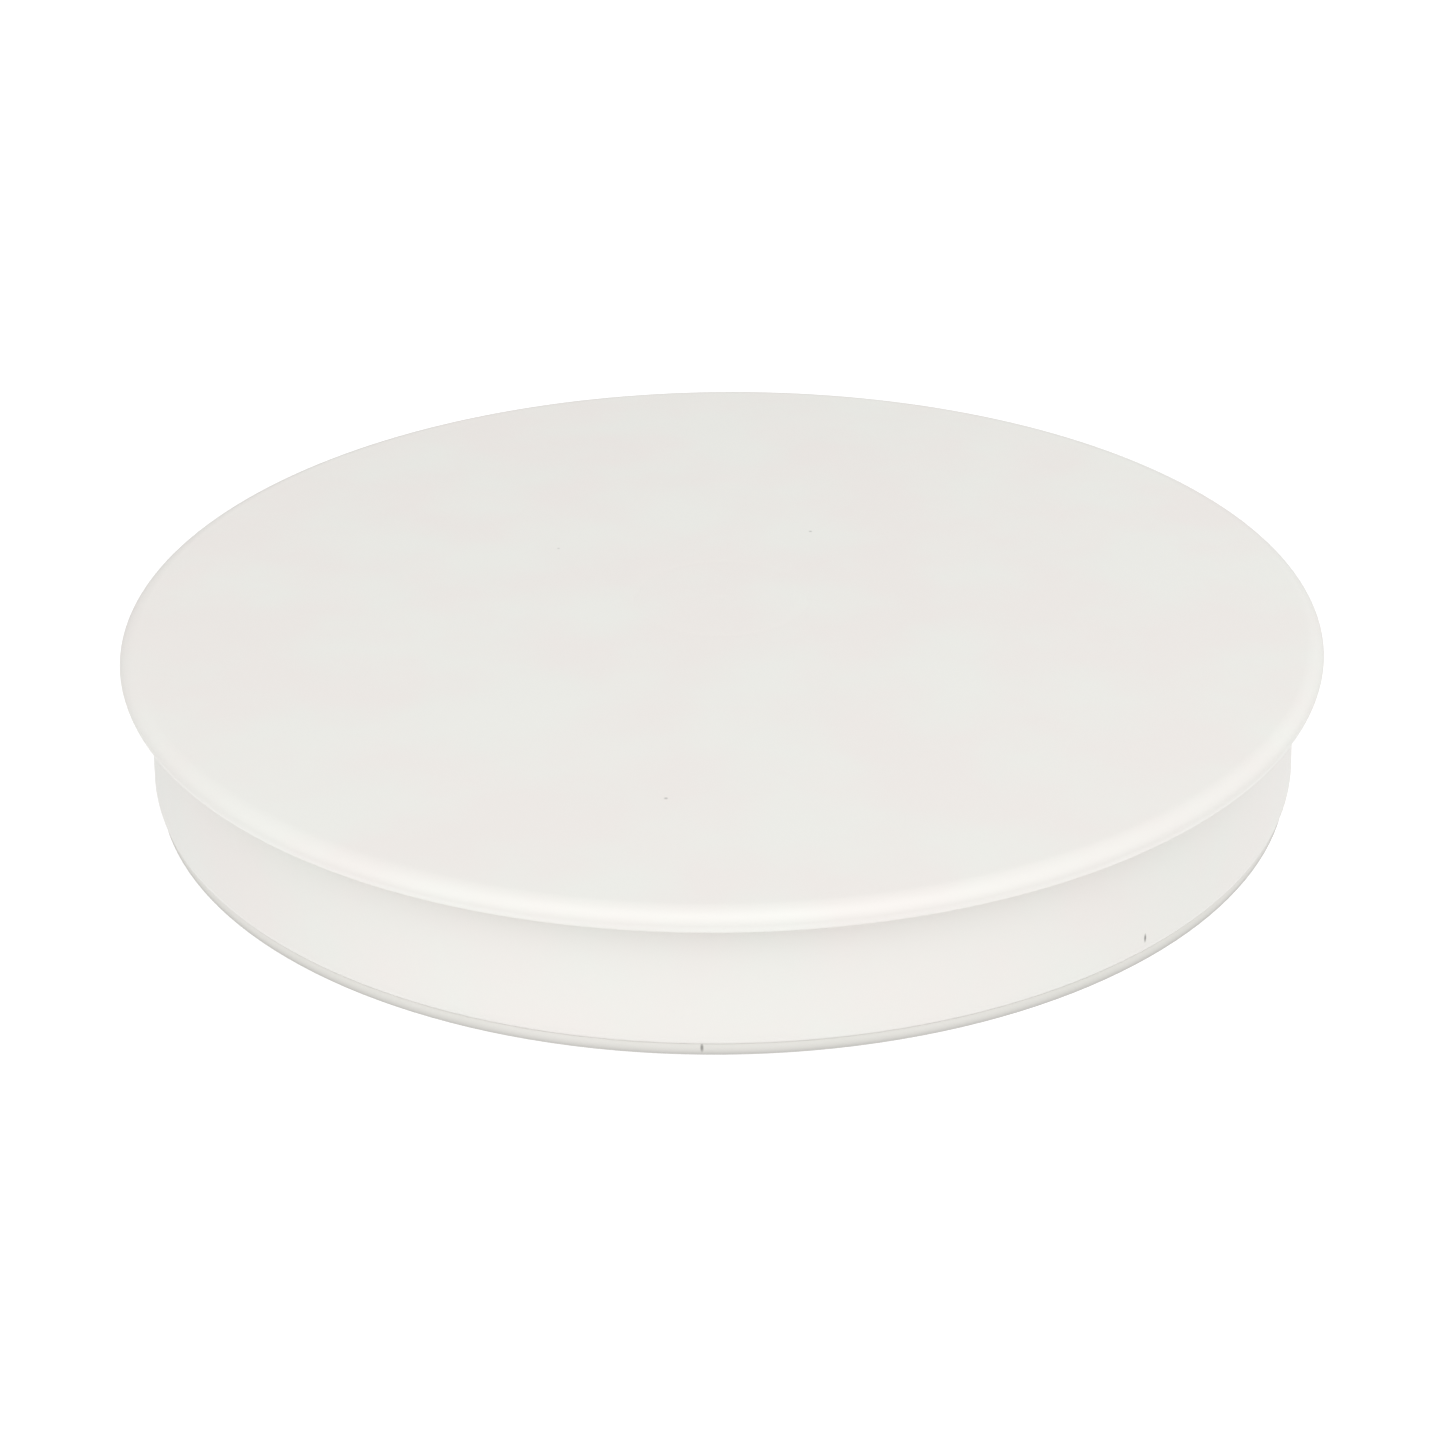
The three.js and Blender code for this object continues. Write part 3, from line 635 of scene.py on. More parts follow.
def shaded_at_contact(tree, where, tone, level, reach, strength):
    """Painted shade round the outer lower edge, where shade falls near the floor. It fades out over a reach
    upwards.
    """
    height = add(tree, "ShaderNodeSeparateXYZ", {0: where}).outputs["Z"]
    near = add(
        tree, "ShaderNodeMapRange", {0: height, 1: level * MM, 2: (level + reach) * MM, 3: 1.0, 4: 0.0},
    ).outputs[0]
    fall = add(tree, "ShaderNodeMath", {0: near, 1: CONTACT_SHADE_FALL}, operation="POWER").outputs[0]
    flat = add(tree, "ShaderNodeVectorMath", {0: where, 1: (1, 1, 0)}, operation="MULTIPLY").outputs[0]
    radius = add(tree, "ShaderNodeVectorMath", {0: flat}, operation="LENGTH").outputs["Value"]
    inner, full = CONTACT_SHADE_INNER * MM, CONTACT_SHADE_FULL * MM
    outer = add(
        tree, "ShaderNodeMapRange", {0: radius, 1: inner, 2: full, 3: 0.0, 4: strength},
    ).outputs[0]
    # Painted shade: darker towards the bottom edge and towards the outside.
    contact_shade = add(tree, "ShaderNodeMath", {0: fall, 1: outer}, operation="MULTIPLY").outputs[0]
    return blended(tree, contact_shade, tone, CONTACT_SHADE_COLOUR)


def moulded_plastic(
    name, colours, roughness, ior, grain, mottle_mm=32.0, specks=None, scuff=None, contact_shade=None,
):
    """A moulded plastic or rubber: soft drift of tone, slightly uneven gloss, fine relief, marks of use,
    and painted shade near the floor.
    """
    material, tree, shader = new_material(name, Roughness=roughness, IOR=ior)
    where = add(tree, "ShaderNodeTexCoord").outputs["Object"]
    tone = mottled(tree, shader, where, colours, mottle_mm, 0.12)
    varied_roughness(tree, shader, where, roughness - 0.04, roughness + 0.05, 18.0)
    relief(tree, shader, where, grain)
    if specks is not None:
        tone = specked(tree, where, tone, *specks)
    if scuff is not None:
        tone = scuffed(tree, where, tone, *scuff)
    # Painted shade near the floor, darker towards the bottom edge.
    if contact_shade is not None:
        tone = shaded_at_contact(tree, where, tone, *contact_shade)
    tree.links.new(tone, shader.inputs["Base Color"])
    return material


def metal(name, colours, roughness, grain, drift_mm):
    """A bare or plated metal: tone and gloss drift a little, with fine marks of how it was finished."""
    material, tree, shader = new_material(name, Metallic=1.0, Roughness=roughness)
    where = add(tree, "ShaderNodeTexCoord").outputs["Object"]
    mottled(tree, shader, where, colours, drift_mm, 0.2)
    varied_roughness(tree, shader, where, roughness * 0.8, roughness * 1.25, drift_mm)
    relief(tree, shader, where, grain)
    return material


MARK_COLOUR = "#4A4844"
# Painted shade near the floor: its colour, how fast it fades upwards, and the radii where it starts and is
# full.
CONTACT_SHADE_COLOUR = "#ABA9A5"
CONTACT_SHADE_FALL = 2.2
CONTACT_SHADE_INNER = PLATE_RADIUS - 4.0  # no painted shade on the underside inside this radius
CONTACT_SHADE_FULL = PLATE_RADIUS - 0.6
SCUFF_HALF_SIZE = Vector((0.45, 0.45, 1.4)) * MM
# Specks: how far apart their balls lie and how big they are in millimetres, and how strongly they show.
FEW_SPECKS = (22.0, 0.6, 0.4)
SCUFF_LEVEL = 8.0

# Injection-moulded ABS from a polished tool: near white, satin, a faint orange peel, slow flow waves.
satin_abs_disc = moulded_plastic(
    "satin_injection_moulded_abs_disc", ("#EAE6E2", "#E9E9E4"), 0.42, 1.54,
    [(26.0, 0.02), (1.6, 0.0016)],
    specks=FEW_SPECKS,
)
# The drum is the same resin from another shot, a touch glossier.
satin_abs_drum = moulded_plastic(
    "satin_injection_moulded_abs_drum", ("#EAE6E2", "#E8E8E3"), 0.38, 1.54,
    [(30.0, 0.02), (1.6, 0.0018)],
    specks=FEW_SPECKS,
    scuff=(wall_inner(SCUFF_LEVEL) + WALL, -50, SCUFF_LEVEL, 0.8),
    # Painted shade at the drum's foot, darker towards the plate.
    contact_shade=(PLATE_TOP, 3.4, 0.2),
)
# Injection-moulded polypropylene from a spark-eroded tool: fine even matt texture, slightly greyer.
matt_polypropylene = moulded_plastic(
    "spark_textured_moulded_polypropylene", ("#E1DFDA", "#DEDDD7"), 0.5, 1.49, [(0.6, 0.006)],
    # Painted shade along the plate's edge, darker towards the floor.
    scuff=(PLATE_RADIUS, -92, 3.0, 0.7), contact_shade=(PLATE_BOTTOM, 2.9, 1.0),
)
# Natural acetal, as moulded: ivory white, waxy, a little translucent look from its soft gloss.
natural_acetal = moulded_plastic(
    "natural_moulded_acetal", ("#E6DFCC", "#E2DAC4"), 0.42, 1.48, [(12.0, 0.01), (0.9, 0.0015)], 9.0,
)
# Moulded rubber: dark grey, dry matt skin with a fine grain.
foot_rubber = moulded_plastic(
    "moulded_grey_rubber", ("#8A8C8E", "#808284"), 0.8, 1.52, [(0.5, 0.01)], 4.0,
)
# Through-hardened bearing steel, lapped to a mirror.
bearing_steel = metal("lapped_bearing_steel", ("#D6D9DC", "#CFD3D7"), 0.1, [(0.8, 0.0002)], 3.0)
# Bright zinc plate on cold-formed steel: bluish white, semi-bright, slightly cloudy.
zinc_plate = metal(
    "bright_zinc_plated_steel", ("#C6CBD1", "#BFC3C4"), 0.3, [(1.2, 0.002), (0.3, 0.0006)], 2.5,
)

# ---------------------------------------------------------------------------
# Turning disc
# ---------------------------------------------------------------------------

groove_degrees = math.degrees(GROOVE_TILT)
upper_groove = arc(
    (RACE_RADIUS, BALL_LEVEL), (GROOVE_RADIUS, GROOVE_RADIUS), 180 - groove_degrees, groove_degrees, 14,
)
lower_groove = arc(
    (RACE_RADIUS, BALL_LEVEL), (GROOVE_RADIUS, GROOVE_RADIUS), -groove_degrees, groove_degrees - 180, 14,
)


def disc_outline():
    """From the journal's bore, out under the disc, round the rim and back over the flat top."""
    half = RIM_HEIGHT / 2
    hoop = RIB_THICKNESS / 2
    tip = hoop - RIB_DRAFT / 2
    underside = [
        (0, JOURNAL_PILOT_TOP),
        (PIVOT_HOLE, JOURNAL_PILOT_TOP, 0.4),
        (PIVOT_HOLE, JOURNAL_END, 0.3),
        (JOURNAL_RADIUS, JOURNAL_END, 0.6),
        (JOURNAL_RADIUS, SHOULDER_LEVEL, 0.5),
        (SHOULDER_RADIUS, SHOULDER_LEVEL, 0.5),
        (SHOULDER_RADIUS, DISC_UNDERSIDE, 1.4),
        (TRACK_INNER, DISC_UNDERSIDE, 0.9),
        (TRACK_INNER, UPPER_TRACK_BOTTOM, 0.4),
        *upper_groove,
        (TRACK_OUTER, UPPER_TRACK_BOTTOM, 0.4),
        (TRACK_OUTER, DISC_UNDERSIDE, 0.9),
        (DISC_HOOP_RADIUS - hoop, DISC_UNDERSIDE, 0.6),
        (DISC_HOOP_RADIUS - tip, UPPER_TRACK_BOTTOM, TIP_FILLET),
        (DISC_HOOP_RADIUS + tip, UPPER_TRACK_BOTTOM, TIP_FILLET),
        (DISC_HOOP_RADIUS + hoop, DISC_UNDERSIDE, 0.6),
        (LIP_INNER, DISC_UNDERSIDE, 0.9),
        (LIP_INNER, RIM_BOTTOM),
    ]
    lip = arc((LIP_INNER + LIP_FILLET, RIM_BOTTOM + LIP_FILLET), (LIP_FILLET, LIP_FILLET), 180, 270, 8)
    lower_edge = arc((DISC_RADIUS - PARTING_STEP - half, RIM_MIDDLE), (half, half), -90, 0, 16)
    upper_edge = arc((DISC_RADIUS - RIM_TOP_ROUND, RIM_MIDDLE), (RIM_TOP_ROUND, half), 0, 90, 20)
    groove = CENTRING_RING_WIDTH / 2
    ring_floor = DISC_TOP - CENTRING_RING_DEPTH
    top = [
        (DISC_RADIUS - RIM_TOP_ROUND - 1.5, DISC_TOP),
        (CENTRING_RING_RADIUS + groove, DISC_TOP, 0.12),
        (CENTRING_RING_RADIUS + groove / 2, ring_floor, 0.12),
        (CENTRING_RING_RADIUS - groove / 2, ring_floor, 0.12),
        (CENTRING_RING_RADIUS - groove, DISC_TOP, 0.12),
        (CENTRE_DIMPLE_RADIUS, DISC_TOP, 0.3),
        (CENTRE_DIMPLE_RADIUS / 2, DISC_TOP - CENTRE_DIMPLE_DEPTH, 0.3),
        (0, DISC_TOP - CENTRE_DIMPLE_DEPTH),
    ]
    below = rounded(underside, closed=False)[:-1]
    return below + lip + lower_edge + upper_edge + rounded(top, closed=False)


disc = turned("disc_body", disc_outline(), satin_abs_disc, FINE_TURNS, closed=False)
disc_rib = rib_section(UPPER_TRACK_BOTTOM + STAND_BACK, DISC_UNDERSIDE + EMBED)
inner_ribs = bar("inner_rib", disc_rib, DISC_RIB_INNER_END, TRACK_INNER + EMBED)
outer_ribs = bar("outer_rib", disc_rib, TRACK_OUTER - EMBED, DISC_RIB_OUTER_END)
disc = combined(disc, [
    ring_of(inner_ribs, DISC_RIBS, 0, 0, satin_abs_disc),
    ring_of(outer_ribs, DISC_RIBS, 0, 0, satin_abs_disc),
], "UNION")
finished(disc, "turning_disc", "disc", ["turntable_disc"], satin_abs_disc)

# ---------------------------------------------------------------------------
# Drum
# ---------------------------------------------------------------------------


def drum_outline():
    """Wall, deck with its ball track, hub and round stiffening hoop, as one closed outline."""
    hoop = RIB_THICKNESS / 2
    tip = hoop - RIB_DRAFT / 2
    rim_outer = DRUM_FOOT_RADIUS - WALL_DRAFT
    seat = PLATE_TOP + SEAT_PLAY
    sweep = math.acos(1 - (DRUM_FOOT_RADIUS - PLATE_RADIUS) / FOOT_ROUND)
    centre = (DRUM_FOOT_RADIUS - FOOT_ROUND, seat + FOOT_ROUND * math.sin(sweep))
    return rounded([
        (DRUM_FOOT_RADIUS - WALL, seat, 0.3),
        *arc(centre, (FOOT_ROUND, FOOT_ROUND), -math.degrees(sweep), 0, 8),
        (rim_outer, DRUM_RIM, 0.7),
        (rim_outer - WALL, DRUM_RIM, 0.7),
        (wall_inner(DECK_TOP), DECK_TOP, 1.2),
        (TRACK_OUTER, DECK_TOP, 0.9),
        (TRACK_OUTER, LOWER_TRACK_TOP, 0.4),
        *lower_groove,
        (TRACK_INNER, LOWER_TRACK_TOP, 0.4),
        (TRACK_INNER, DECK_TOP, 0.9),
        (HUB_RADIUS, DECK_TOP, 0.8),
        (HUB_RADIUS, HUB_TOP, 0.5),
        (HUB_BORE, HUB_TOP, 0.25),
        (HUB_BORE, HUB_BOTTOM, 0.25),
        (HUB_RADIUS, HUB_BOTTOM, 0.5),
        (HUB_RADIUS, DECK_UNDERSIDE, 1.2),
        (RACE_RADIUS - hoop, DECK_UNDERSIDE, 0.6),
        (RACE_RADIUS - tip, HUB_BOTTOM, TIP_FILLET),
        (RACE_RADIUS + tip, HUB_BOTTOM, TIP_FILLET),
        (RACE_RADIUS + hoop, DECK_UNDERSIDE, 0.6),
        (wall_inner(DECK_UNDERSIDE), DECK_UNDERSIDE, 1.2),
    ])


drum = turned("drum_body", drum_outline(), satin_abs_drum, FINE_TURNS)
drum_ribs = bar(
    "drum_rib", rib_section(HUB_BOTTOM + STAND_BACK, DECK_UNDERSIDE + EMBED),
    (HUB_BORE + HUB_RADIUS) / 2, DRUM_FOOT_RADIUS - WALL + EMBED,
)
bosses = turned("screw_boss", rounded([
    (0, BOSS_BOTTOM),
    (BOSS_RADIUS, BOSS_BOTTOM, 0.5),
    (BOSS_RADIUS + RIB_DRAFT, DECK_UNDERSIDE + EMBED),
    (0, DECK_UNDERSIDE + EMBED),
], closed=False), satin_abs_drum, BOSS_TURNS, closed=False)
pilots = turned("pilot_hole", [
    (0, BOSS_BOTTOM - CUT_PAST),
    *mouth(BOSS_PILOT_RADIUS, BOSS_BOTTOM, 0.4),
    (BOSS_PILOT_RADIUS, BOSS_PILOT_TOP),
    (0, BOSS_PILOT_TOP + BOSS_PILOT_RADIUS / 2),
], satin_abs_drum, HOLE_TURNS, closed=False)
rib_turn = math.pi / DRUM_RIBS
drum = combined(drum, [
    ring_of(drum_ribs, DRUM_RIBS, 0, rib_turn, satin_abs_drum),
    ring_of(bosses, SCREWS, SCREW_CIRCLE, SCREW_ANGLE, satin_abs_drum),
], "UNION")
drum = combined(drum, [ring_of(pilots, SCREWS, SCREW_CIRCLE, SCREW_ANGLE, satin_abs_drum)], "DIFFERENCE")
finished(drum, "drum_base", "base", ["base_drum"], satin_abs_drum)

# ---------------------------------------------------------------------------
# Base plate
# ---------------------------------------------------------------------------

plate = turned("plate_body", rounded([
    (ACCESS_RADIUS, PLATE_BOTTOM, 0.5),
    (PANEL_INNER, PLATE_BOTTOM, 0.35),
    (PANEL_INNER + PANEL_SLOPE, PANEL_LEVEL, 0.35),
    (PANEL_OUTER - PANEL_SLOPE, PANEL_LEVEL, 0.35),
    (PANEL_OUTER, PLATE_BOTTOM, 0.35),
    (PLATE_RADIUS, PLATE_BOTTOM, 0.5),
    (PLATE_RADIUS, PLATE_TOP, 0.15),
    (SPIGOT_OUTER, PLATE_TOP, 0.3),
    (SPIGOT_OUTER, SPIGOT_TOP, 0.6),
    (SPIGOT_INNER, SPIGOT_TOP, 0.5),
    (SPIGOT_INNER, PLATE_TOP, 0.6),
    (ACCESS_RADIUS, PLATE_TOP, 0.5),
]), matt_polypropylene, FINE_TURNS)


def plate_boss(name, radius, top):
    """A round boss on the plate's inner face."""
    outline = rounded([
        (0, PLATE_TOP - EMBED),
        (radius + RIB_DRAFT, PLATE_TOP - EMBED),
        (radius, top, 0.5),
        (0, top),
    ], closed=False)
    return turned(name, outline, matt_polypropylene, BOSS_TURNS, closed=False)


def plate_hole(name, wide, ceiling, narrow, top):
    """A stepped hole up through the plate: a wide mouth below and a narrow hole above."""
    outline = [
        (0, PLATE_BOTTOM - CUT_PAST),
        *mouth(wide, PLATE_BOTTOM, 0.4),
        (wide, ceiling),
        (narrow, ceiling),
        (narrow, top + CUT_PAST),
        (0, top + CUT_PAST),
    ]
    return turned(name, outline, matt_polypropylene, BOSS_TURNS, closed=False)


ejector_marks = turned("ejector_mark", [
    (0, PLATE_BOTTOM),
    (EJECTOR_MARK_RADIUS, PLATE_BOTTOM),
    (EJECTOR_MARK_RADIUS, PANEL_LEVEL + EJECTOR_MARK_DEPTH),
    (0, PANEL_LEVEL + EJECTOR_MARK_DEPTH),
], matt_polypropylene, BOSS_TURNS, closed=False)
screw_ring = (SCREWS, SCREW_CIRCLE, SCREW_ANGLE, matt_polypropylene)
foot_ring = (FEET, FOOT_CIRCLE, FOOT_ANGLE, matt_polypropylene)
screw_seat = plate_boss("screw_seat", SEAT_RADIUS, SEAT_TOP)
foot_socket = plate_boss("foot_socket", SOCKET_BOSS_RADIUS, SOCKET_TOP)
plate = combined(plate, [ring_of(screw_seat, *screw_ring), ring_of(foot_socket, *foot_ring)], "UNION")
screw_hole = plate_hole("screw_hole", COUNTERBORE_RADIUS, COUNTERBORE_TOP, BOSS_PILOT_RADIUS, SEAT_TOP)
foot_hole = plate_hole("foot_hole", SOCKET_RADIUS, SOCKET_CEILING, STEM_HOLE, SOCKET_TOP)
plate = combined(plate, [
    ring_of(screw_hole, *screw_ring),
    ring_of(foot_hole, *foot_ring),
    ring_of(ejector_marks, FEET, EJECTOR_MARK_CIRCLE, FOOT_ANGLE, matt_polypropylene),
], "DIFFERENCE")
finished(plate, "closing_plate", "base", ["base_plate"], matt_polypropylene)

# ---------------------------------------------------------------------------
# Feet
# ---------------------------------------------------------------------------

ring_ceiling = FOOT_BOTTOM + FOOT_RING_DEPTH
pad_rings = []
for inner in FOOT_RINGS:
    outer = inner + FOOT_RING_WIDTH
    pad_rings += [
        (inner, FOOT_BOTTOM, 0.15),
        (inner + FOOT_RING_SLOPE, ring_ceiling, 0.15),
        (outer - FOOT_RING_SLOPE, ring_ceiling, 0.15),
        (outer, FOOT_BOTTOM, 0.15),
    ]
foot = turned("push_in_foot", rounded([
    (0, FOOT_BOTTOM),
    *pad_rings,
    (FOOT_RADIUS, FOOT_BOTTOM, 0.6),
    (FOOT_RADIUS, FOOT_PAD_TOP, 0.3),
    (FOOT_STEM_RADIUS, FOOT_PAD_TOP, 0.2),
    (FOOT_STEM_RADIUS, FOOT_BARB_BOTTOM, 0.2),
    (FOOT_BARB_RADIUS, FOOT_BARB_BOTTOM, 0.3),
    (FOOT_TIP_RADIUS, FOOT_TIP, 0.5),
    (0, FOOT_TIP),
], closed=False), foot_rubber, BOSS_TURNS, closed=False)
feet = ring_of(foot, FEET, FOOT_CIRCLE, FOOT_ANGLE, foot_rubber)
foot_nodes = ["foot_%d" % (i + 1) for i in range(FEET)]
finished(feet, "push_in_feet", "base", foot_nodes, foot_rubber)

# ---------------------------------------------------------------------------
# Screws
# ---------------------------------------------------------------------------


def pan_head_screw(name, bottom, tip, head_radius, head_height, shank_radius, pitch):
    """A pan-head tapping screw with a rolled thread and a cross recess, head down."""
    head_top = bottom + head_height
    thread_start = head_top + THREAD_START
    taper_start = tip - shank_radius
    crown = head_height * 0.62
    dome = arc((head_radius * 0.6, bottom + crown), (head_radius * 0.4, crown), -90, 0, 8)
    neck = [
        (head_radius - 0.1, head_top),
        (shank_radius + 0.25, head_top),
        (shank_radius, head_top + 0.25),
    ]
    rungs = math.ceil((taper_start - thread_start) / (pitch / RUNGS_PER_TURN))
    shank = []
    for step in range(rungs + 1):
        shank.append((shank_radius, thread_start + (taper_start - thread_start) * step / rungs))
    point = [
        (shank_radius * 0.72, tip - shank_radius * 0.5),
        (shank_radius * 0.35, tip - shank_radius * 0.1),
        (0, tip),
    ]
    outline = [(0, bottom)] + dome + neck + shank + point
    body = turned(name, outline, zinc_plate, HOLE_TURNS, closed=False)
    mesh = body.data
    bpy.data.objects.remove(body)
    screw = grown(name, mesh, THREAD, {
        "Pitch": pitch * MM,
        "Depth": shank_radius * THREAD_DEPTH * MM,
        "Start": thread_start * MM,
        "End": (tip - shank_radius * 0.2) * MM,
        "Material": zinc_plate,
    })
    reach = head_radius * 0.56
    width = head_radius * 0.13
    floor = bottom + head_height * 0.55
    blade = [
        (-width * 1.2, bottom - CUT_PAST),
        (width * 1.2, bottom - CUT_PAST),
        (width * 0.8, floor),
        (-width * 0.8, floor),
    ]
    slot = bar(name + "_slot", blade, -reach, reach)
    # The recess narrows towards its floor, as a driver's tip does.
    for vertex in slot.data.vertices:
        if vertex.co.z > bottom * MM:
            vertex.co.x *= 0.55
    crossing = slot.copy()
    crossing.data = slot.data.copy()
    for vertex in crossing.data.vertices:
        vertex.co.xy = Vector((-vertex.co.y, vertex.co.x))
    scene.collection.objects.link(crossing)
    return combined(screw, [slot, crossing], "DIFFERENCE")


tapping_screw = pan_head_screw(
    "tapping_screw", SCREW_BOTTOM, SCREW_TIP, SCREW_HEAD_RADIUS, SCREW_HEAD_HEIGHT,
    SCREW_SHANK_RADIUS, SCREW_PITCH,
)
screws = ring_of(tapping_screw, SCREWS, SCREW_CIRCLE, SCREW_ANGLE, zinc_plate)
screw_nodes = ["plate_screw_%d" % (i + 1) for i in range(SCREWS)]
finished(screws, "tapping_screws", "base", screw_nodes, zinc_plate)

journal_screw = pan_head_screw(
    "pivot", PIVOT_HEAD_BOTTOM, PIVOT_TIP, PIVOT_HEAD_RADIUS, PIVOT_HEAD_HEIGHT,
    PIVOT_SHANK_RADIUS, PIVOT_PITCH,
)
finished(journal_screw, "journal_screw", "disc", ["pivot_screw"], zinc_plate)

washer = turned("washer", rounded([
    (PIVOT_HOLE, WASHER_BOTTOM, 0.12),
    (WASHER_RADIUS, WASHER_BOTTOM, 0.4),
    (WASHER_RADIUS, WASHER_TOP, 0.12),
    (PIVOT_HOLE, WASHER_TOP, 0.4),
]), zinc_plate)
finished(washer, "journal_washer", "disc", ["pivot_washer"], zinc_plate)

# ---------------------------------------------------------------------------
# Bushes
# ---------------------------------------------------------------------------

top_bush = turned("sleeve_above", rounded([
    (BUSH_BORE, SLEEVE_END_ABOVE, 0.25),
    (SLEEVE_RADIUS, SLEEVE_END_ABOVE, 0.5),
    (SLEEVE_RADIUS, FLANGE_TOP - FLANGE_THICKNESS, 0.2),
    (FLANGE_RADIUS, FLANGE_TOP - FLANGE_THICKNESS, 0.25),
    (FLANGE_RADIUS, FLANGE_TOP, 0.4),
    (BUSH_BORE, FLANGE_TOP, 0.4),
]), natural_acetal)
finished(top_bush, "top_bush", "base", ["upper_bush"], natural_acetal)

bottom_bush = turned("sleeve_below", rounded([
    (BUSH_BORE, FLANGE_BOTTOM, 0.4),
    (FLANGE_RADIUS, FLANGE_BOTTOM, 0.4),
    (FLANGE_RADIUS, FLANGE_BOTTOM + FLANGE_THICKNESS, 0.25),
    (SLEEVE_RADIUS, FLANGE_BOTTOM + FLANGE_THICKNESS, 0.2),
    (SLEEVE_RADIUS, SLEEVE_END_BELOW, 0.5),
    (BUSH_BORE, SLEEVE_END_BELOW, 0.25),
]), natural_acetal)
finished(bottom_bush, "bottom_bush", "base", ["lower_bush"], natural_acetal)

# ---------------------------------------------------------------------------
# Ball cage and balls
# ---------------------------------------------------------------------------

CAGE_INNER = CAGE_OUTER - CAGE_WIDTH
cage = turned("cage_ring", rounded([
    (CAGE_INNER, CAGE_BOTTOM, 0.6),
    (CAGE_OUTER, CAGE_BOTTOM, 0.6),
    (CAGE_OUTER, CAGE_TOP, 0.6),
    (CAGE_INNER, CAGE_TOP, 0.6),
]), natural_acetal, FINE_TURNS)
collars = turned("pocket_collar", rounded([
    (0, CAGE_BOTTOM - COLLAR_RISE),
    (COLLAR_RADIUS - COLLAR_DRAFT, CAGE_BOTTOM - COLLAR_RISE, 0.3),
    (COLLAR_RADIUS, BALL_LEVEL),
    (COLLAR_RADIUS - COLLAR_DRAFT, CAGE_TOP + COLLAR_RISE, 0.3),
    (0, CAGE_TOP + COLLAR_RISE),
], closed=False), natural_acetal, BOSS_TURNS, closed=False)
pocket_end = COLLAR_RISE + CUT_PAST
pockets = turned("ball_pocket", [
    (0, CAGE_BOTTOM - pocket_end),
    (POCKET_RADIUS + POCKET_LEAD_IN, CAGE_BOTTOM - pocket_end),
    (POCKET_RADIUS + POCKET_LEAD_IN, CAGE_BOTTOM - COLLAR_RISE),
    (POCKET_RADIUS, CAGE_BOTTOM - COLLAR_RISE + POCKET_LEAD_IN),
    (POCKET_RADIUS, CAGE_TOP + COLLAR_RISE - POCKET_LEAD_IN),
    (POCKET_RADIUS + POCKET_LEAD_IN, CAGE_TOP + COLLAR_RISE),
    (POCKET_RADIUS + POCKET_LEAD_IN, CAGE_TOP + pocket_end),
    (0, CAGE_TOP + pocket_end),
], natural_acetal, BOSS_TURNS, closed=False)
cage = combined(cage, [ring_of(collars, BALLS, RACE_RADIUS, 0, natural_acetal)], "UNION")
cage = combined(cage, [ring_of(pockets, BALLS, RACE_RADIUS, 0, natural_acetal)], "DIFFERENCE")
finished(cage, "bearing_cage", "cage", ["ball_cage"], natural_acetal)

for number in range(1, BALLS + 1):
    node = "ball_%02d" % number
    low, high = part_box(node)
    work = bmesh.new()
    bmesh.ops.create_icosphere(work, subdivisions=4, radius=BALL_RADIUS * MM)
    bmesh.ops.translate(work, verts=work.verts, vec=(low + high) / 2)
    ball_mesh = bpy.data.meshes.new(node + "_shape")
    work.to_mesh(ball_mesh)
    work.free()
    ball = bpy.data.objects.new(node + "_shape", ball_mesh)
    scene.collection.objects.link(ball)
    finished(ball, "bearing_" + node, node, [node], bearing_steel)

# ---------------------------------------------------------------------------
# Floor, light and camera
# ---------------------------------------------------------------------------

SWEEP_SIDES = 64
SWEEP_RADIUS = 5.0  # metres
SWEEP_HEIGHT = 6.0  # metres

# A flat floor that turns up into a round white wall far behind the object.
sweep_ring = []
for side in range(SWEEP_SIDES):
    swing = 2 * math.pi * side / SWEEP_SIDES
    sweep_ring.append(Vector((SWEEP_RADIUS * math.cos(swing), SWEEP_RADIUS * math.sin(swing), 0)))
wall_top = [point + Vector((0, 0, SWEEP_HEIGHT)) for point in sweep_ring]
sweep_faces = [tuple(range(SWEEP_SIDES))]
for side in range(SWEEP_SIDES):
    following = (side + 1) % SWEEP_SIDES
    sweep_faces.append((following, side, SWEEP_SIDES + side, SWEEP_SIDES + following))
floor_mesh = bpy.data.meshes.new("floor")
floor_mesh.from_pydata(sweep_ring + wall_top, [], sweep_faces)
floor = bpy.data.objects.new("floor", floor_mesh)
scene.collection.objects.link(floor)
floor_paint, floor_tree, floor_shader = new_material("matt_white_paper_sweep", Roughness=0.9)
# Matt paper lit from all sides: it is bright enough to show as plain white without a shadow.
floor_shader.inputs["Base Color"].default_value = linear("#9A9A9A")
floor_shader.inputs["Specular IOR Level"].default_value = 0.1
floor_shader.inputs["Emission Color"].default_value = linear("#FFFFFF")
floor_shader.inputs["Emission Strength"].default_value = 0.85
floor_mesh.materials.append(floor_paint)
floor.visible_diffuse = False
floor.visible_glossy = False
floor.visible_shadow = False

world = bpy.data.worlds.new("light tent")
world.use_nodes = True
scene.world = world
tent = world.node_tree
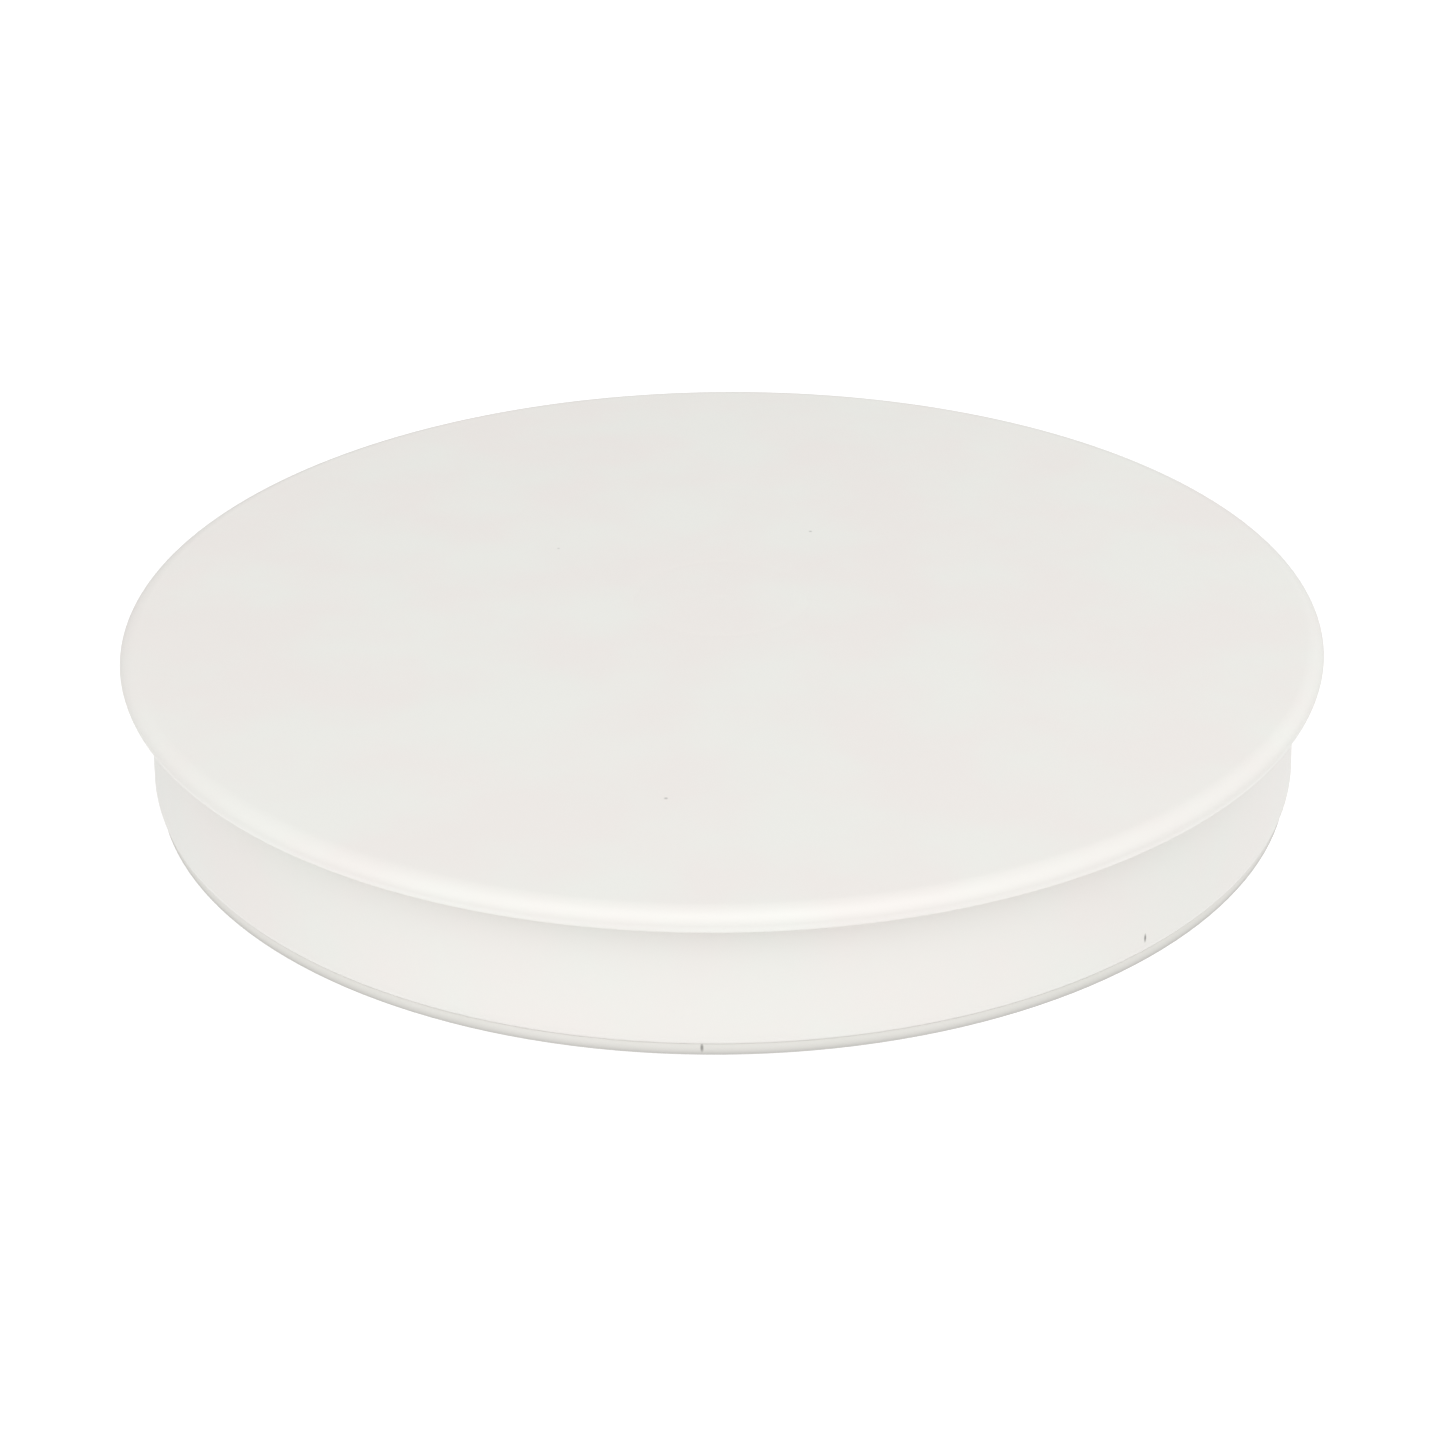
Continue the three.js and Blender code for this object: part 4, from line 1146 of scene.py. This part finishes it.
# White walls, ceiling and table, each as (towards, brightness, how tightly it is gathered).
tent_walls = [
    ((-0.75, -0.66, 0.35), 1.35, 4.0),
    ((0.75, -0.66, 0.35), 1.25, 4.0),
    ((-0.7, 0.7, 0.35), 0.7, 4.0),
    ((0.7, 0.7, 0.35), 1.1, 4.0),
    ((0.0, -0.7, 0.7), 0.4, 4.0),
    ((0.0, 0.0, 1.0), 0.4, 3.0),
    ((0.0, 0.0, -1.0), 1.6, 1.0),
]
sky = add(tent, "ShaderNodeTexCoord").outputs["Generated"]
glow = None
for towards, brightness, gathered in tent_walls:
    facing = add(
        tent, "ShaderNodeVectorMath", {0: sky, 1: Vector(towards).normalized()}, operation="DOT_PRODUCT",
    ).outputs["Value"]
    seen = add(tent, "ShaderNodeMath", {0: facing, 1: 0.0}, operation="MAXIMUM").outputs[0]
    lobe = add(tent, "ShaderNodeMath", {0: seen, 1: gathered}, operation="POWER").outputs[0]
    so_far = 0.0 if glow is None else glow
    glow = add(
        tent, "ShaderNodeMath", {0: lobe, 1: brightness, 2: so_far}, operation="MULTIPLY_ADD",
    ).outputs[0]
background = tent.nodes["Background"]
background.inputs["Color"].default_value = (1, 1, 1, 1)
tent.links.new(glow, background.inputs["Strength"])


def softbox(name, place, size, power):
    """A large soft light that points at the turntable, in metres and watts."""
    data = bpy.data.lights.new(name, "AREA")
    data.shape = "RECTANGLE"
    data.size = size[0]
    data.size_y = size[1]
    data.energy = power
    lamp = bpy.data.objects.new(name, data)
    lamp.location = place
    lamp.rotation_euler = (-Vector(place)).to_track_quat("-Z", "Y").to_euler()
    scene.collection.objects.link(lamp)


softbox("overhead softbox", (0.0, -0.4, 1.0), (1.2, 0.9), 3.2)

CAMERA_LENS = 63.9
CAMERA_PLACE = (0.0, -589.6, 317.8)
CAMERA_AIM = (0.0, 0.0, 4.1)
CAMERA_ROLL = -0.57  # degrees

camera_data = bpy.data.cameras.new("camera")
camera_data.lens = CAMERA_LENS
camera = bpy.data.objects.new("camera", camera_data)
camera.location = Vector(CAMERA_PLACE) * MM
aim = Vector(CAMERA_AIM) * MM
level_view = (aim - camera.location).to_track_quat("-Z", "Y")
camera.rotation_mode = "QUATERNION"
camera.rotation_quaternion = level_view @ Quaternion((0, 0, 1), math.radians(CAMERA_ROLL))
scene.collection.objects.link(camera)
scene.camera = camera
scene.view_settings.view_transform = "Standard"
